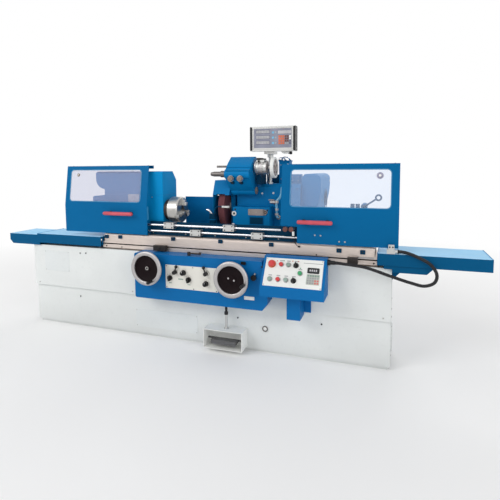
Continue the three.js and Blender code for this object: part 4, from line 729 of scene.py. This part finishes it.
# Handwheels
WHEELS = (("left_handwheel", -216, 597, 1.1), ("right_handwheel", 436, 568, 0.25))
GRIP_AT = 98
WHEEL_RIM = [
    (94, -205), (95.5, -212), (100, -215), (114, -216), (121, -213.5), (124.6, -208), (124.6, -202),
    (121, -197), (114, -194.4), (100, -195), (95.5, -198),
]
WHEEL_DISH = [
    (21, -196), (24, -194.5), (26, -191), (34, -188), (60, -187.5), (86, -193), (93, -200), (96.5, -204),
    (96.5, -198), (90, -190), (62, -180.5), (36, -178), (33.5, -174), (33.5, -158), (20, -156), (20, -136.4),
]
WHEEL_GRIP = [
    (TIP, -266.5), (8, -266), (12, -262), (13, -254), (11.8, -238), (10.2, -222), (11.4, -213), (10.8, -207),
    (7, -206), (7, -190), (TIP, -190),
]


def handwheels():
    for name, x, z, turn in WHEELS:
        form = Form()
        form.lathe("y", (x, z), WHEEL_RIM, SATIN, 96, looped=True)
        form.solid("y", (x, z), WHEEL_DISH, DISH, 72)
        grip = (x + GRIP_AT * math.cos(turn), z - GRIP_AT * math.sin(turn))
        form.lathe("y", grip, WHEEL_GRIP, BLACK, 24)
        form.ring("y", grip, 5, 9.5, -206.5, -204, STEEL, 20)
        if name == "left_handwheel":
            form.ring("y", (x, z), 8, 13, -199.5, -195, STEEL, 32)
            form.solid("y", (x, z), [(8.2, -197.5), (8.2, -195)], BLACK)
        else:
            form.ring("y", (x, z), 26, 29, -192.5, -188, DISH, 40)
            stud = [(TIP, -199.5), (5, -199.2), (6.6, -198), (6.6, -195), (TIP, -195)]
            for dx, dz in ((-21, 7), (20, -6)):
                form.lathe("y", (x + dx, z + dz), stud, SATIN, 16)
        piece = form.done(name.replace("hand", "turned_"), name, 0.5, 2)
        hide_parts(name)


# Plates, screws and labels on the bed and the apron
SIGHT = (612, 178)
BED_END, BED_BACK, REAR_BACK = 1450, 290, 1330
PLINTH_PLATE, BED_FRONT, BED_PLATE = -2, -20, -22
APRON_FRONT, APRON_FIELD = -136, -139
SPEED_KNOBS = (("left_speed_knob", 50, 572), ("right_speed_knob", 225, 507))
DOT_REACH = 27


def bed_fittings():
    form = Form()
    form.rivets(corners_of((-458, 83), (70, 212), 9), PLINTH_PLATE, 4)
    form.rivets(corners_of((-1334, -1078), (460, 630), 8), BED_PLATE, 3.4)
    for spot in ((-962, 627), (-906, 630)):
        form.prism("y", hexagon(spot, 6.5), -24.2, -22.6, BLACK)
    for spot in ((-994, 258), (406, 235), (1010, 259)):
        form.prism("y", hexagon(spot, 6.5), -4.2, -2.6, DARK)
    form.screws([(x, 352) for x in (-1404, -470, 560, 1404)], BED_FRONT, 5)
    form.solid("y", SIGHT, [(13, -4), (14, -3), (20, -3), (22, -2), (22, 0)], WHITE, 28)
    form.ring("y", SIGHT, 14, 21, -7, -2.5, DARK_STEEL)
    form.done("bed_front_fittings", "bed", 0.25)


def bed_sides():
    """Access panels and vents on the bed's ends and back."""
    form = Form()
    for side in (-1, 1):
        face = side * BED_END
        for z, y in (((70, 290), (40, 250)), ((390, 610), (20, 270))):
            form.cover("x", y, z, face, side, 8, 13, CREAM)
        hood = [(0, 0), (side * 7, -9), (side * 8.5, -15), (0, -15)]
        for i in range(7):
            z = 250 - i * 22
            form.prism("y", [(face + side * COVER_LIFT + a, z + b) for a, b in hood], 75, 215, CREAM)
    for x0, x1 in ((-1340, -760), (-640, -40), (830, 1380)):
        for z in ((60, 290), (390, 620)):
            form.cover("y", (x0, x1), z, BED_BACK, 1, 10, 14, CREAM, middle=True)
        form.louvres((x0 + 120, x1 - 120), (110, 240), BED_BACK + COVER_LIFT, 6, CREAM)
    form.done("bed_panels", "bed", 0.5)


def rear_fittings():
    """The rear bed's access doors with their catches, and its covers, under the wheelhead."""
    form = Form()
    for x0, x1 in ((90, 385), (415, 710)):
        form.cover("y", (x0, x1), (70, 600), REAR_BACK, 1, 10, 15, CREAM)
        form.louvres((x0 + 50, x1 - 50), (120, 280), REAR_BACK + COVER_LIFT, 7, CREAM)
        form.slab("y", (x0 + 18, x0 + 44), (330, 372), 5, REAR_BACK + 7, REAR_BACK + 2, BLACK)
        form.slab("y", (x0 + 24, x0 + 38), (338, 364), 4, REAR_BACK + 10, REAR_BACK + 6, STEEL)
    for side, face in ((-1, 50), (1, 750)):
        for z in ((70, 290), (380, 600)):
            form.cover("x", (420, 1230), z, face, side, 10, 15, CREAM, middle=True)
    form.done("rear_bed_panels", "bed", 0.5)


def dots(form, centre, angles, wide, narrow):
    """Painted dots round a knob; the angles are in degrees."""
    face = APRON_FIELD
    for angle in angles:
        a = math.radians(angle)
        spot = (centre[0] + DOT_REACH * math.cos(a), centre[1] + DOT_REACH * math.sin(a))
        form.lathe("y", spot, [(TIP, face), (wide, face), (narrow, face - 0.6), (TIP, face - 0.7)], BLACK, 8)


def apron_fittings():
    form = Form()
    field_screws = [(122, 612), (126, 458), (-90, 612), (-90, 458), (303, 612), (303, 458)]
    form.screws(field_screws, APRON_FIELD, 3.6, BLACK)
    form.plate((505, 578), (421, 445), APRON_FRONT, 1.2, LABEL, 2)
    form.rivets(((512, 433), (571, 433)), APRON_FRONT - 1.2, 2)
    for spot in ((-19, 569), (231, 581)):
        form.ring("y", spot, 15.5, 20, -140.2, -138.5, STEEL)
    for _, x, z in SPEED_KNOBS:
        dots(form, (x, z), range(-210, -511, -30), 1.3, 1.1)
    for spot in ((-61, 526), (89, 524)):
        dots(form, spot, (130, 90, 50), 1.8, 1.5)
    for x, z in (((-73, -49), (486, 492)), ((77, 101), (484, 490)), ((4, 44), (518, 526))):
        form.plate(x, z, APRON_FIELD, 0.6, GREY_GREEN, 1.5)
    form.solid("y", (634, 655), [(5, -138), (7, -137), (7, APRON_FRONT)], DARK, 16)
    form.ring("y", (578, 579), 11.5, 19, -156, -146, BLACK, 24)
    button = [(TIP, -152), (5, -151), (7.5, -147), (8, APRON_FRONT), (TIP, APRON_FRONT)]
    form.lathe("y", (586, 604), button, SATIN, 16)
    form.plate((486, 520), (662, 682), APRON_FRONT, 9, BLACK, 4)
    form.done("apron_fittings", "bed", 0.3)
    front = APRON_FIELD - 6 - 30
    for name, x, z in SPEED_KNOBS:
        knob = Form()
        knob.lathe("y", (x, z), [(TIP, front - 1.2), (9, front - 1.2), (11, front), (TIP, front)], DARK, 24)
        knob.block((x - 1.1, x + 1.1), (front - 1.9, front + 2), (z + 4, z + 15.5), WHITE)
        knob.done(name + "_mark", name)


def console_fittings():
    """The console's panel, made in its own frame: x, depth, distance up the slope."""
    form = Form()
    made = []
    f = PANEL_FACE
    top, middle, bottom = (share * PANEL_LENGTH for share in (0.74, 0.5, 0.26))
    bright = [(768, top), (816, top), (898, middle), (706, bottom), (760, bottom), (812, bottom)]
    dark = [(866, top), (862, bottom)]
    for spot in bright:
        made += form.lathe("y", spot, [(14.2, f), (18.5, f), (18, f - 2.4), (14.6, f - 3)], SATIN, 28, True)
    for spot in dark:
        made += form.lathe("y", spot, [(14.2, f), (18.5, f), (18, f - 2), (14.6, f - 2.4)], BLACK, 28, True)
    collar = [(14.5, f), (27, f), (26.4, f - 1.4), (14.5, f - 1.6)]
    made += form.lathe("y", (706, top), collar, ORANGE, 32, True)
    for x, up in bright + dark:
        made += form.slab("y", (x - 12, x + 12), (up + 23, up + 30), 1.5, f - 0.7, f, LABEL_GREY)
    lamp_shape = [(TIP, f - 2.6), (2.2, f - 2.2), (3.4, f - 1), (3.6, f), (TIP, f)]
    lamps = ((739, 181, RED), (784, 185, GREEN), (842, 186, ORANGE), (880, 186, RED), (898, 142, GREEN))
    for x, up, colour in lamps:
        made += form.lathe("y", (x, up), lamp_shape, colour, 14)
    for x, up, corner, outer, inner, material in (
        ((944, 1020), (112, 149), 5, 3.2, 0, BLACK),
        ((951, 1013), (119, 142), 2, 3.6, 3, LCD),
        ((942, 1026), (38, 107), 4, 0.9, 0, KEYPAD),
        ((914, 1036), (176, 180), 1, 0.6, 0, LABEL_GREY),
        *(((958 + i * 13, 966 + i * 13), (125, 137), 1, 3.9, 3.4, DIGITS) for i in range(4)),
    ):
        made += form.slab("y", x, up, corner, f - outer, f - inner, material)
    for row in range(4):
        for col in range(5):
            x, up = 947 + col * 15.6, 91 - row * 16
            colour = GREY_GREEN if row == 0 else PINK if row >= 2 and col >= 3 else LABEL_GREY
            made += form.slab("y", (x, x + 12), (up, up + 11.5), 2, f - 2.3, f - 0.8, colour)
    head = [(TIP, f - 1), (1.6, f - 1), (2, f - 2.2), (3.6, f - 1.8), (4.2, f), (TIP, f)]
    for spot in corners_of((663, 1042), (10, 201.6), 7):
        made += form.lathe("y", spot, head, STEEL, 14)
    form.turn(made, PANEL_TURN)
    form.ring("x", (-95, 706), 13.5, 19.2, 1060.5, 1068, BLACK, 24)
    form.done("console_fittings", "bed", 0.25)


# Readout
def readout_pieces():
    form = Form()
    back, face = -35, -36.6

    def key(x, z, material, depth=0.8, corner=1.5, low=face):
        return form.slab("y", x, z, corner, low - depth, low, material)

    made = form.slab("y", (-145, 145), (-68, 75), 3, face, back, SCREEN)
    for z in ((75, 79.5), (-79.5, -68)):
        made += form.block((-145.5, 145.5), (-38.6, back), z, ALUMINIUM)
    for z in ((39, 66), (-1, 26), (-41, -14)):
        made += key((-131, -20), z, SCREEN_EDGE, 0.5)
        made += key((-127, -24), (z[0] + 3.5, z[1] - 3.5), DIGITS, 0.9)
        for i in range(8):
            x = -124 + i * 12.4
            made += key((x, x + 8.4), (z[0] + 6, z[1] - 6), LABEL_GREY, 0.5, 1, face - 0.9)
    made += key((42, 142), (36, 58), DIGITS)
    for z in (46, 8, -32):
        made += key((-4, 12), (z - 8, z + 8), KEY_BLUE, 1.2, 2)
        made += key((18, 30), (z - 6, z + 6), LABEL_GREY, 1.2, 2)
    for row in range(4):
        z = 9 - row * 17
        keys = [(46 + col * 16, 13.5, ORANGE) for col in range(3)]
        keys += [(95 + col * 15.5, 12.5, BROWN if row < 3 else LABEL_GREY) for col in range(2)]
        keys.append((127, 14, WHITE if row < 2 else SCREEN_EDGE))
        for x, width, colour in keys:
            made += key((x, x + width), (z, z + 14.5), colour, 1.5, 2)
    for x in (-14, 34, 84):
        light = [(TIP, face - 1), (1.6, face - 0.8), (2, face), (TIP, face)]
        made += form.lathe("y", (x, 70), light, RED, 10)
    side_screw = [(TIP, 176.4), (2.4, 176.2), (4.6, 175.4), (5, 173.8), (TIP, 173.8)]
    for side in (-1, 1):
        for z in (-74, 74):
            made += form.lathe("x", (0, z), [(r, side * d) for r, d in side_screw], STEEL, 12)
    back_screw = [(TIP, 40.6), (1.8, 40.6), (2.2, 41.8), (4, 41.4), (4.6, 39), (TIP, 39)]
    for spot in corners_of((-140, 140), (-76, 76), 8):
        made += form.lathe("y", spot, back_screw, STEEL, 12)
    made += form.slab("y", (-110, -10), (20, 64), 4, 39, 40.4, LABEL_GREY)
    for x in (20, 58, 96):
        made += form.solid("y", (x, -20), [(13, 39), (13, 44), (10, 45), (10, 50), (9, 51)], STEEL)
        made += form.solid("y", (x, -20), [(8.6, 50), (8.6, 66), (5.4, 68), (5, 82)], BLACK, 16)
    made += form.block((60, 128), (-10, 12), (-97, -92.2), ALUMINIUM)
    made += form.prism("y", [(60, -97), (128, -97), (112, -112), (76, -112)], -6, 8, WHITE)
    knob = [(TIP, 112), (7, 112), (7, 122), (11, 124), (12, 134), (10, 142), (TIP, 143)]
    made += form.lathe("x", (1, -106), knob, BLACK, 18)
    place = (READOUT_X, READOUT_Y, READOUT_BOTTOM + READOUT_HEIGHT / 2)
    form.turn(made, Matrix.Translation(place) @ Matrix.Rotation(READOUT_YAW, 4, "Z"))
    form.done("readout_panel", "readout", 0.25)


# Wheelhead
NOSE, HEAD_FRONT, HEAD_TOP, HEAD_BACK = 285, 385, 1185, 980
COOLANT_PIPE = [
    (652, 384, 1168), (648, 362, 1166), (640, 350, 1150), (636, 346, 1110), (622, 344, 1078),
    (604, 342, 1062), (600, 342, 1030), (602, 342, 950), (604, 350, 930), (606, 384, 926),
]
NOZZLE = ((176, 262, 270), (184, 252, 275), (228, 252, 275), (238, 258, 272))


def nose_fittings(form):
    nose = NOSE
    form.slab("y", (390, 520), (948, 996), 6, nose - 4, nose, PLATE_GREY)
    tongue = [(514, 948), (532, 954), (545, 968), (545, 978), (532, 991), (514, 996)]
    form.prism("y", tongue, nose - 4, nose, PLATE_GREY)
    form.ring("y", (528, 972), 7, 11, nose - 6, nose - 3, OXIDE, 20)
    form.screws([(400, 972), (455, 972)], nose - 4, 4)
    form.slab("y", (396, 516), (872, 940), 5, nose - 1.5, nose, TEAL)
    form.slab("y", (404, 508), (880, 932), 4, nose - 3, nose - 1, DARK_TEAL)
    form.ring("y", (273, 958), 9, 19, nose - 5, nose, WHITE, 32)
    form.solid("y", (273, 958), [(9.2, nose - 3.4), (9.2, nose)], BLACK)
    knob = [(9, nose - 24), (13, nose - 21), (13, nose - 9), (8, nose - 7), (8, nose)]
    form.solid("y", (271, 869), knob, SATIN, 24)
    form.screws([(x, z) for x in (282, 545) for z in (832, 990)], nose, 6.5, OXIDE)


def wheelhead_fittings():
    form = Form()
    front, top = HEAD_FRONT, HEAD_TOP
    nose_fittings(form)
    # the flat nozzle in front of the wheel, which the valve on the guard feeds
    form.shell([[(x, y, z) for y, z in ((low, 1003), (high, 1003), (high, 1017), (low, 1017))]
                for x, low, high in NOZZLE], WHITE)
    # coolant pipe, tap and fittings right of the nose
    form.tube(smooth_path(COOLANT_PIPE), 9, KEY_BLUE, 14)
    flange = [(9, front), (17, front), (17, front - 7), (13, front - 9), (13, front - 18), (9, front - 18)]
    for spot in ((652, 1168), (606, 926)):
        form.lathe("y", spot, flange, STEEL, 20, True)
    for low, high in ((1040, 1060), (985, 1000), (948, 962)):
        form.ring("z", (601, 342), 8.6, 14, low, high, SATIN, 6)
    form.solid("x", (342, 1046), [(9, 548), (12, 552), (12, 578), (16, 580), (16, 590)], SATIN, 18)
    form.slab("y", (538, 584), (1060, 1069), 3, 334, 348, PLATE_GREY)
    form.solid("z", (561, 341), [(5, 1052), (5, 1062)], STEEL, 12)
    for spot in ((472, 1111), (564, 1115), (300, 1111)):
        form.solid("y", spot, [(6, front - 5), (8, front - 3), (8, front)], WHITE, 16)
    corners = corners_of((268, 768), (830, 1165), 16)
    form.screws([(x, z) for x, z in corners if x > 560 or z > 1010], front, 6, OXIDE)
    # lifting eyes, oil cup and a cover on top
    for x, y in ((330, 900), (700, 900), (330, 480)):
        form.solid("z", (x, y), [(17, top), (17, top + 8), (10, top + 11)], STEEL)
        form.torus("y", (x, top + 26), 15, 5, y, STEEL, 28, 10)
    cup = [(TIP, top), (19, top), (19, top + 10), (16, top + 15), (TIP, top + 16)]
    form.lathe("z", (420, 760), cup, BRASS, 24)
    form.cover("z", (300, 520), (560, 720), top, 1, 8, 12, LIT_WHEEL_BLUE, 4.5)
    # covers on the back and the left side
    form.cover("y", (300, 735), (850, 1140), HEAD_BACK, 1, 12, 18, LIT_WHEEL_BLUE, 5.5)
    form.louvres((380, 655), (900, 1080), HEAD_BACK + COVER_LIFT, 8, LIT_WHEEL_BLUE)
    form.cover("x", (740, 940), (860, 1120), 262, -1, 10, 14, LIT_WHEEL_BLUE)
    form.done("wheelhead_fittings", "wheelhead", 0.4)


LEADS = (
    [(576, 600, 1368), (578, 594, 1386), (592, 584, 1398),
     (618, 582, 1399), (638, 590, 1388), (643, 604, 1368)],
    [(598, 628, 1368), (594, 624, 1384), (580, 606, 1396),
     (566, 578, 1395), (562, 560, 1384), (568, 554, 1368)],
)


def terminal_box():
    """The box behind the internal motor, with a lid and two leads in bright flexible tube."""
    form = Form()
    base, top = HEAD_TOP, 1362
    form.slab("z", (562, 652), (548, 640), 8, base, top, LIT_WHEEL_BLUE)
    form.slab("z", (557, 657), (543, 645), 10, top, top + 8, LIT_WHEEL_BLUE)
    form.slab("z", (640, 742), (556, 632), 8, base, 1258, LIT_WHEEL_BLUE)
    # a dark teal block fills the shadow behind the post: painted shade
    form.slab("z", (455, 570), (560, 620), 8, base, 1256, DARK_TEAL)
    form.cover("y", (572, 642), (1212, 1342), 548, -1, 6, 9, LIT_WHEEL_BLUE, 4)
    form.cover("y", (664, 730), (1200, 1246), 556, -1, 6, 8, LIT_WHEEL_BLUE, 4)
    for lead in LEADS:
        form.tube(smooth_path(lead, 8), 6.5, CHROME, 14)
        for x, y, _ in (lead[0], lead[-1]):
            form.ring("z", (x, y), 6, 10, top + 7.5, top + 15, OXIDE, 18)
    form.done("terminal_box", "wheelhead", 0.8, 2)


def coolant_valve():
    """The valve on the guard's front edge and the pipe from it to the nozzle."""
    form = Form()
    form.slab("z", (92, 130), (218, 252), 8, 866, 878, SATIN)
    form.slab("z", (88, 134), (214, 256), 12, 878, 958, DARK_TEAL)
    form.slab("z", (86.6, 135.4), (212.6, 257.4), 13, 908, 914, TEAL)
    form.block((91, 104), (250, 290), (896, 930), DARK_TEAL)
    form.tube([(104, 236, 955), (90, 236, 972), (74, 236, 984), (56, 236, 986)], [8, 9, 9, 5], CHROME, 16)
    form.tube([(96, 236, 872), (62, 236, 868), (44, 236, 866)], [6, 6, 4.5], SATIN, 14)
    feed = [(120, 240, 952), (123, 248, 982), (132, 256, 1002), (150, 262, 1010), (182, 264, 1010)]
    form.tube(smooth_path(feed), 4.5, DARK_TEAL, 14)
    form.done("coolant_valve", "wheelhead", 0.6, 2)


def belt_housing_fittings():
    form = Form()
    face, hub = 925, (660, 1060)
    edge = [(470, 930), (470, 1060), (860, 930), (860, 1200), (660, 930), (660, 1232)]
    form.screws(edge, face, 6, STEEL, "x", 1)
    for radius in (34, 54, 74):
        form.torus("x", hub, radius, 2.2, face + 2.5, DARK, 40)
    for inner, outer in zip(circle(hub, 14, 6), circle(hub, 76, 6)):
        form.tube([(face + 2.5, *inner), (face + 2.5, *outer)], 2.2, DARK, 6)
    form.solid("x", hub, [(14, face), (14, face + 4), (11, face + 6)], DARK)
    form.done("belt_housing_fittings", "wheelhead", 0.3)


def guard_fittings():
    form = Form()
    left = 96
    edge = [(420, 830), (420, 1010), (560, 1180), (680, 1080), (680, 860), (560, 800)]
    form.screws(edge, left, 6, STEEL, "x", -1)
    form.cover("x", (440, 600), (900, 1080), left, -1, 14, 14, LIT_WHEEL_BLUE, 4.5)
    side_plate = [(274, 1104), (274, 860), (290, 822), (404, 822), (404, 1082), (330, 1104)]
    form.prism("x", side_plate, left + 0.4, left + 3.5, LIT_WHEEL_BLUE)
    cap = [(26, left - 2.5), (26, left - 7), (20, left - 10)]
    form.solid("x", (520, 990), cap, BLACK, 28)
    form.done("guard_fittings", "wheelhead", 0.4)


def internal_motor_fittings():
    form = Form()
    axis = (300, 1313)
    bell = [(14, 440), (18, 443), (40, 445), (49, 449), (52.5, 455), (52.5, 462)]
    form.solid("x", axis, bell, SATIN, 40)
    form.ring("x", axis, 50, 54.5, 488, 512, SATIN, 40)
    form.solid("x", axis, [(52.5, 536), (52.5, 545), (46, 551), (20, 554), (20, 566)], SATIN, 40)
    form.block((466, 526), (262, 334), (1352, 1371), ALUMINIUM)
    form.block((470, 500), (258, 330), (1371.2, 1386), BLACK)
    form.block((504, 524), (262, 326), (1371.2, 1382), BLACK)
    form.solid("y", (486, 1361), [(8, 262), (8, 250), (5, 248)], BLACK, 14)
    form.ring("x", axis, 64, 78.5, 581.5, 606, WHITE, 64)
    hub = [(12, 610), (13, 607), (22, 606), (24, 603.4), (64, 603.4), (64, 602.8)]
    form.solid("x", axis, hub, PLATE_GREY, 40)
    for spot in circle(axis, 42, 5, 0.3):
        form.solid("x", spot, [(9, 603.4), (9, 604.2)], OXIDE, 16)
    form.done("internal_motor_fittings", "wheelhead", 0.4)


def internal_head_fittings():
    head = Form()
    knob = [(6, 143.5), (7, 141.5), (15, 141.8), (18.5, 143.2), (20, 146.2)]
    for x in (296, 370):
        head.solid("y", (x, 1232), knob, PINK_GREY, 32)
        head.ring("y", (x, 1232), 21.3, 24, 158, 164.5, STEEL, 32)
    boss = [(10, 449), (12, 447), (26, 446.5), (28, 444), (28, 437.2)]
    head.solid("x", (337.5, 1136), boss, PINK_GREY, 32)
    made = []
    for x in (284, 356):
        made += head.lathe("y", (x, 0), [(TIP, -4), (12, -4), (17, -2.6), (18, 0), (TIP, 0)], DARK_TEAL, 24)
        made += head.prism("y", hexagon((x, 0), 8), -6.5, -4, OXIDE)
    slope = Matrix.Rotation(math.atan2(52, 58), 4, "X")
    head.turn(made, Matrix.Translation((0, 226, 1201)) @ slope)
    back = 375
    head.screws([(x, z) for x in (258, 419) for z in (1150, 1290)], back, 5, STEEL, "y", 1)
    head.cover("y", (285, 392), (1190, 1300), back, 1, 8, 12, LIT_WHEEL_BLUE, 4)
    head.done("internal_head_fittings", "internal_arm", 0.4)


# Doors: each upper field leans back from a crease
DOOR_FACE, DOOR_TOP, CREASE, FIELD_BACK, FIELD_RISE = -20, 1335, 1022, 48, 313
FIELD_STRETCH = math.hypot(FIELD_BACK, FIELD_RISE) / FIELD_RISE
FIELD_TURN = (Matrix.Translation((0, DOOR_FACE, CREASE))
              @ Matrix.Rotation(-math.atan2(FIELD_BACK, FIELD_RISE), 4, "X"))
HANDLE_CAP = [(14, 0.0), (13.2, 4.0), (10.6, 8.0), (6, 10.6), (TIP, 11.4)]
HANDLE_COLLAR = [(8.8, -20), (15, -20), (15, -25), (11, -29), (8.8, -29)]


def door_fittings():
    for side, x, across, limits, handle, handle_z, studs, knob, size, tone in (
        ("left", (-1096, -320), (-1052, -381), (1053, 1304), (-676, -432), 967,
         [], (-978, 1263), 13, PINK_GREY),
        ("right", (730, 1485), (792, 1436), (1051, 1298), (863, 1073), 954,
         [(963, 865), (1001, 864), (1122, 830), (1159, 830)], (1367, 1258), 21, LAVENDER),
    ):
        form = Form()
        up = [(v - CREASE) * FIELD_STRETCH for v in limits]
        outer = rounded_rect((across[0] - 3, across[1] + 3), (up[0] - 3, up[1] + 3), 29, 5)
        inner = rounded_rect((across[0] + 3, across[1] - 3), (up[0] + 3, up[1] - 3), 24, 5)
        seal = ((outer, -0.1), (outer, -2.4), (inner, -2.4), (inner, -0.1))
        rings = [[(a, depth, b) for a, b in outline] for outline, depth in seal]
        made = form.shell(rings, GASKET, capped=False, looped=True)
        spot = (knob[0], (knob[1] - CREASE) * FIELD_STRETCH)
        made += form.solid("y", spot, [(size * 0.5, -7), (size * 0.9, -5.5), (size, -1)], tone, 24)
        pin = [(TIP, -9), (size * 0.3, -8.6), (size * 0.4, -6.9), (TIP, -6.9)]
        made += form.lathe("y", spot, pin, WHITE, 16)
        form.turn(made, FIELD_TURN)
        for end, out in ((handle[0], -1), (handle[1], 1)):
            form.lathe("x", (-62, handle_z), [(r, end + out * d) for r, d in HANDLE_CAP], RED_GRIP, 20)
            form.lathe("y", (end - out * 28, handle_z), HANDLE_COLLAR, BLACK, 20, True)
        for stud in studs:
            form.lathe("y", stud, [(TIP, -20), (6.2, -20), (6.2, -21.5), (4.5, -23.5), (TIP, -24)], SATIN, 14)
        spots = [(a, 61) for a in (x[0] + 30, sum(x) / 2, x[1] - 30)]
        form.screws(spots, DOOR_TOP, 4.5, STEEL, "z", 1)
        form.done(side + "_door_fittings", side + "_door", 0.3)


# Swivel table: clamps, bearing-block screws, and the switch's rollers and lead.
# The lead passes behind the door's rod blocks.
ROLLER = [(16, 1), (17, 0), (17, -3), (14.5, -5), (14.5, -9), (17, -11), (17, -15), (16, -16.6)]
SWITCH_LEAD = [
    (815, -6, 856), (815, 12, 858), (815, 28, 853), (816, 31, 838), (818, 28, 815), (821, 14, 806),
    (825, -4, 804.6), (831, -13, 802.4), (838, -19, 796), (846, -21.2, 788), (854, -20.8, 784),
]


def swivel_fittings():
    form = Form()
    for x, z in ((-695, 776), (-568, 778), (-98, 786), (285, 787), (664, 785), (1122, 771), (1271, 769)):
        form.plate((x - 16, x + 16), (z - 12, z + 15), -18, 8, DARK_TEAL, 2.5)
        form.ring("y", (x, z + 2), 2.5, 6, -28, -25.9, BLACK, 14)
    for x, z in ((-141, 884), (343, 884), (80, 838), (556, 838)):
        form.screws(corners_of((x - 28, x + 28), (z - 14, z + 14), 0), -12, 4.4, BLACK)
    form.screws([(x, 818) for x in (-300, -20, 220, 460, 700)], 35)
    for x in (759, 801):
        form.solid("y", (x, 895), ROLLER, BROWN, 32)
    form.block((809, 821), (-17, 0), (853, 882), WHITE)
    form.tube(smooth_path(SWITCH_LEAD), 2.2, BLACK, 10)
    form.block((850, 866), (-24, -17.8), (778, 790), BLACK)
    form.done("swivel_table_fittings", "swivel", 0.3)


def lower_table_fittings():
    """The lower table's screws and its swivel scale."""
    form = Form()
    form.screws(((-556, 700), (975, 735)), -20, 5, OXIDE)
    form.screws(((-700, 702), (1340, 702)), -20, 5.5, OXIDE)
    form.block((1236, 1344), (-20.25, -19.9), (728, 739.8), SATIN)
    for i in range(25):
        x = 1240 + i * 4
        form.block((x, x + 0.8), (-20.4, -19.8), (738 - (9 if i % 5 == 0 else 5), 739.6), BLACK)
    form.done("lower_table_fittings", "table", 0.2)


def cover_fittings():
    form = Form()
    for x0, x1 in ((-1385, -734), (1360, 2002)):
        spots = [(x0 + (x1 - x0) * (0.06 + 0.2933 * i), 716) for i in range(4)]
        form.screws(spots, 252, 4.5, STEEL, "y", 1)
        # pale strips across the tops at the covers' ends: painted highlights
        for x in (x0 + 3, x1 - 3):
            form.block((x - 3, x + 3), (-45.8, 252.8), (774, 775.4), EDGE_HIGHLIGHT_BLUE)
    form.slab("z", (1424, 1458), (-47, -21), 4, 774, 777, ALUMINIUM)
    form.plate((1425, 1461), (776, 833), -42, 5, ALUMINIUM, 4)
    for x in (1434, 1452):
        form.lathe("y", (x, 817), [(TIP, -49.6), (4.4, -49.2), (5, -46.8), (TIP, -46.8)], BLACK, 14)
    form.ring("x", (-34, 789.3), 10.6, 14.5, 1480, 1486, BLACK, 20)
    form.done("cover_fittings", "table", 0.3)


def headstock_fittings():
    form = Form()
    face = 60
    form.screws([(x, 1090) for x in (-800, -640, -480, -320)], face, 5)
    form.plate((-541, -441), (1042, 1112), face, 1, LABEL)
    form.rivets(corners_of((-541, -441), (1042, 1112), 6), face - 1, 2.4)
    form.done("headstock_fittings", "swivel", 0.3)


def pedal_fittings():
    form = Form()
    form.screws(((250, 128), (350, 128)), -9, 5, BLACK)
    form.done("pedal_fittings", "bed", 0.2)


for make in (
    conduit, handwheels, bed_fittings, bed_sides, rear_fittings, apron_fittings, console_fittings,
    readout_pieces, wheelhead_fittings, terminal_box, coolant_valve, belt_housing_fittings, guard_fittings,
    internal_motor_fittings, internal_head_fittings, door_fittings, swivel_fittings, lower_table_fittings,
    cover_fittings, headstock_fittings, pedal_fittings,
):
    make()


# Floor and light
WHITE_LIGHT = (1, 1, 1, 1)
AMBIENT, LIGHT_AIM = 0.62, Vector((0, 0, 0.8))
FADE_START, FADE_END = 2.2, 5.5


def stage_material():
    n = Nodes("floor")
    path = n.add("ShaderNodeLightPath")
    length = n.add("ShaderNodeVectorMath", operation="LENGTH")
    n.link(n.place(), length.inputs[0])
    far = n.ranged(length.outputs["Value"], 0, 1, FADE_START, FADE_END)
    gain = n.add("ShaderNodeMath", operation="MULTIPLY")
    n.link(far, gain.inputs[0])
    n.link(path.outputs["Is Camera Ray"], gain.inputs[1])
    white = n.add("ShaderNodeEmission", Color=WHITE_LIGHT, Strength=1.0)
    n.blend_shaders(gain.outputs[0], n.shader, white, "Material Output")
    n.colour(n.ramp(n.noise(0.8, 2), [(0.3, linear(250, 250, 250)), (0.7, linear(253, 253, 253))]))
    n.set(Roughness=0.9)
    return n.material


def make_stage():
    mesh = bpy.data.meshes.new("floor")
    reach = 30
    corners = [(-reach, -reach, 0), (reach, -reach, 0), (reach, reach, 0), (-reach, reach, 0)]
    mesh.from_pydata(corners, [], [(0, 1, 2, 3)])
    mesh.materials.append(stage_material())
    floor = bpy.data.objects.new("floor", mesh)
    scene.collection.objects.link(floor)


def make_world():
    world = bpy.data.worlds.new("studio")
    scene.world = world
    w = Tree(world)
    dim = w.tree.nodes["Background"]
    dim.inputs["Color"].default_value = WHITE_LIGHT
    dim.inputs["Strength"].default_value = AMBIENT
    bright = w.add("ShaderNodeBackground", Color=WHITE_LIGHT, Strength=1.0)
    path = w.add("ShaderNodeLightPath")
    rays = w.add("ShaderNodeMath", operation="ADD")
    more = w.add("ShaderNodeMath", operation="ADD", use_clamp=True)
    w.link(path.outputs["Is Camera Ray"], rays.inputs[0])
    w.link(path.outputs["Is Glossy Ray"], rays.inputs[1])
    w.link(rays.outputs[0], more.inputs[0])
    w.link(path.outputs["Is Transmission Ray"], more.inputs[1])
    w.blend_shaders(more.outputs[0], dim, bright, "World Output")


def lamp(name, place, size, power):
    data = bpy.data.lights.new(name, "AREA")
    data.shape = "RECTANGLE"
    data.size, data.size_y = size
    data.energy = power
    light = bpy.data.objects.new(name, data)
    scene.collection.objects.link(light)
    light.location = place
    aim = LIGHT_AIM - Vector(place)
    light.rotation_euler = aim.to_track_quat("-Z", "Y").to_euler()


def make_light():
    make_world()
    lamp("key", (-3.2, -4.6, 4.2), (3.5, 2.5), 130)
    lamp("fill", (5.0, -3.8, 2.6), (3.0, 3.0), 60)
    lamp("rear", (0.5, 5.0, 4.0), (4.0, 2.0), 70)


make_stage()
make_light()
scene.view_settings.view_transform = "Standard"
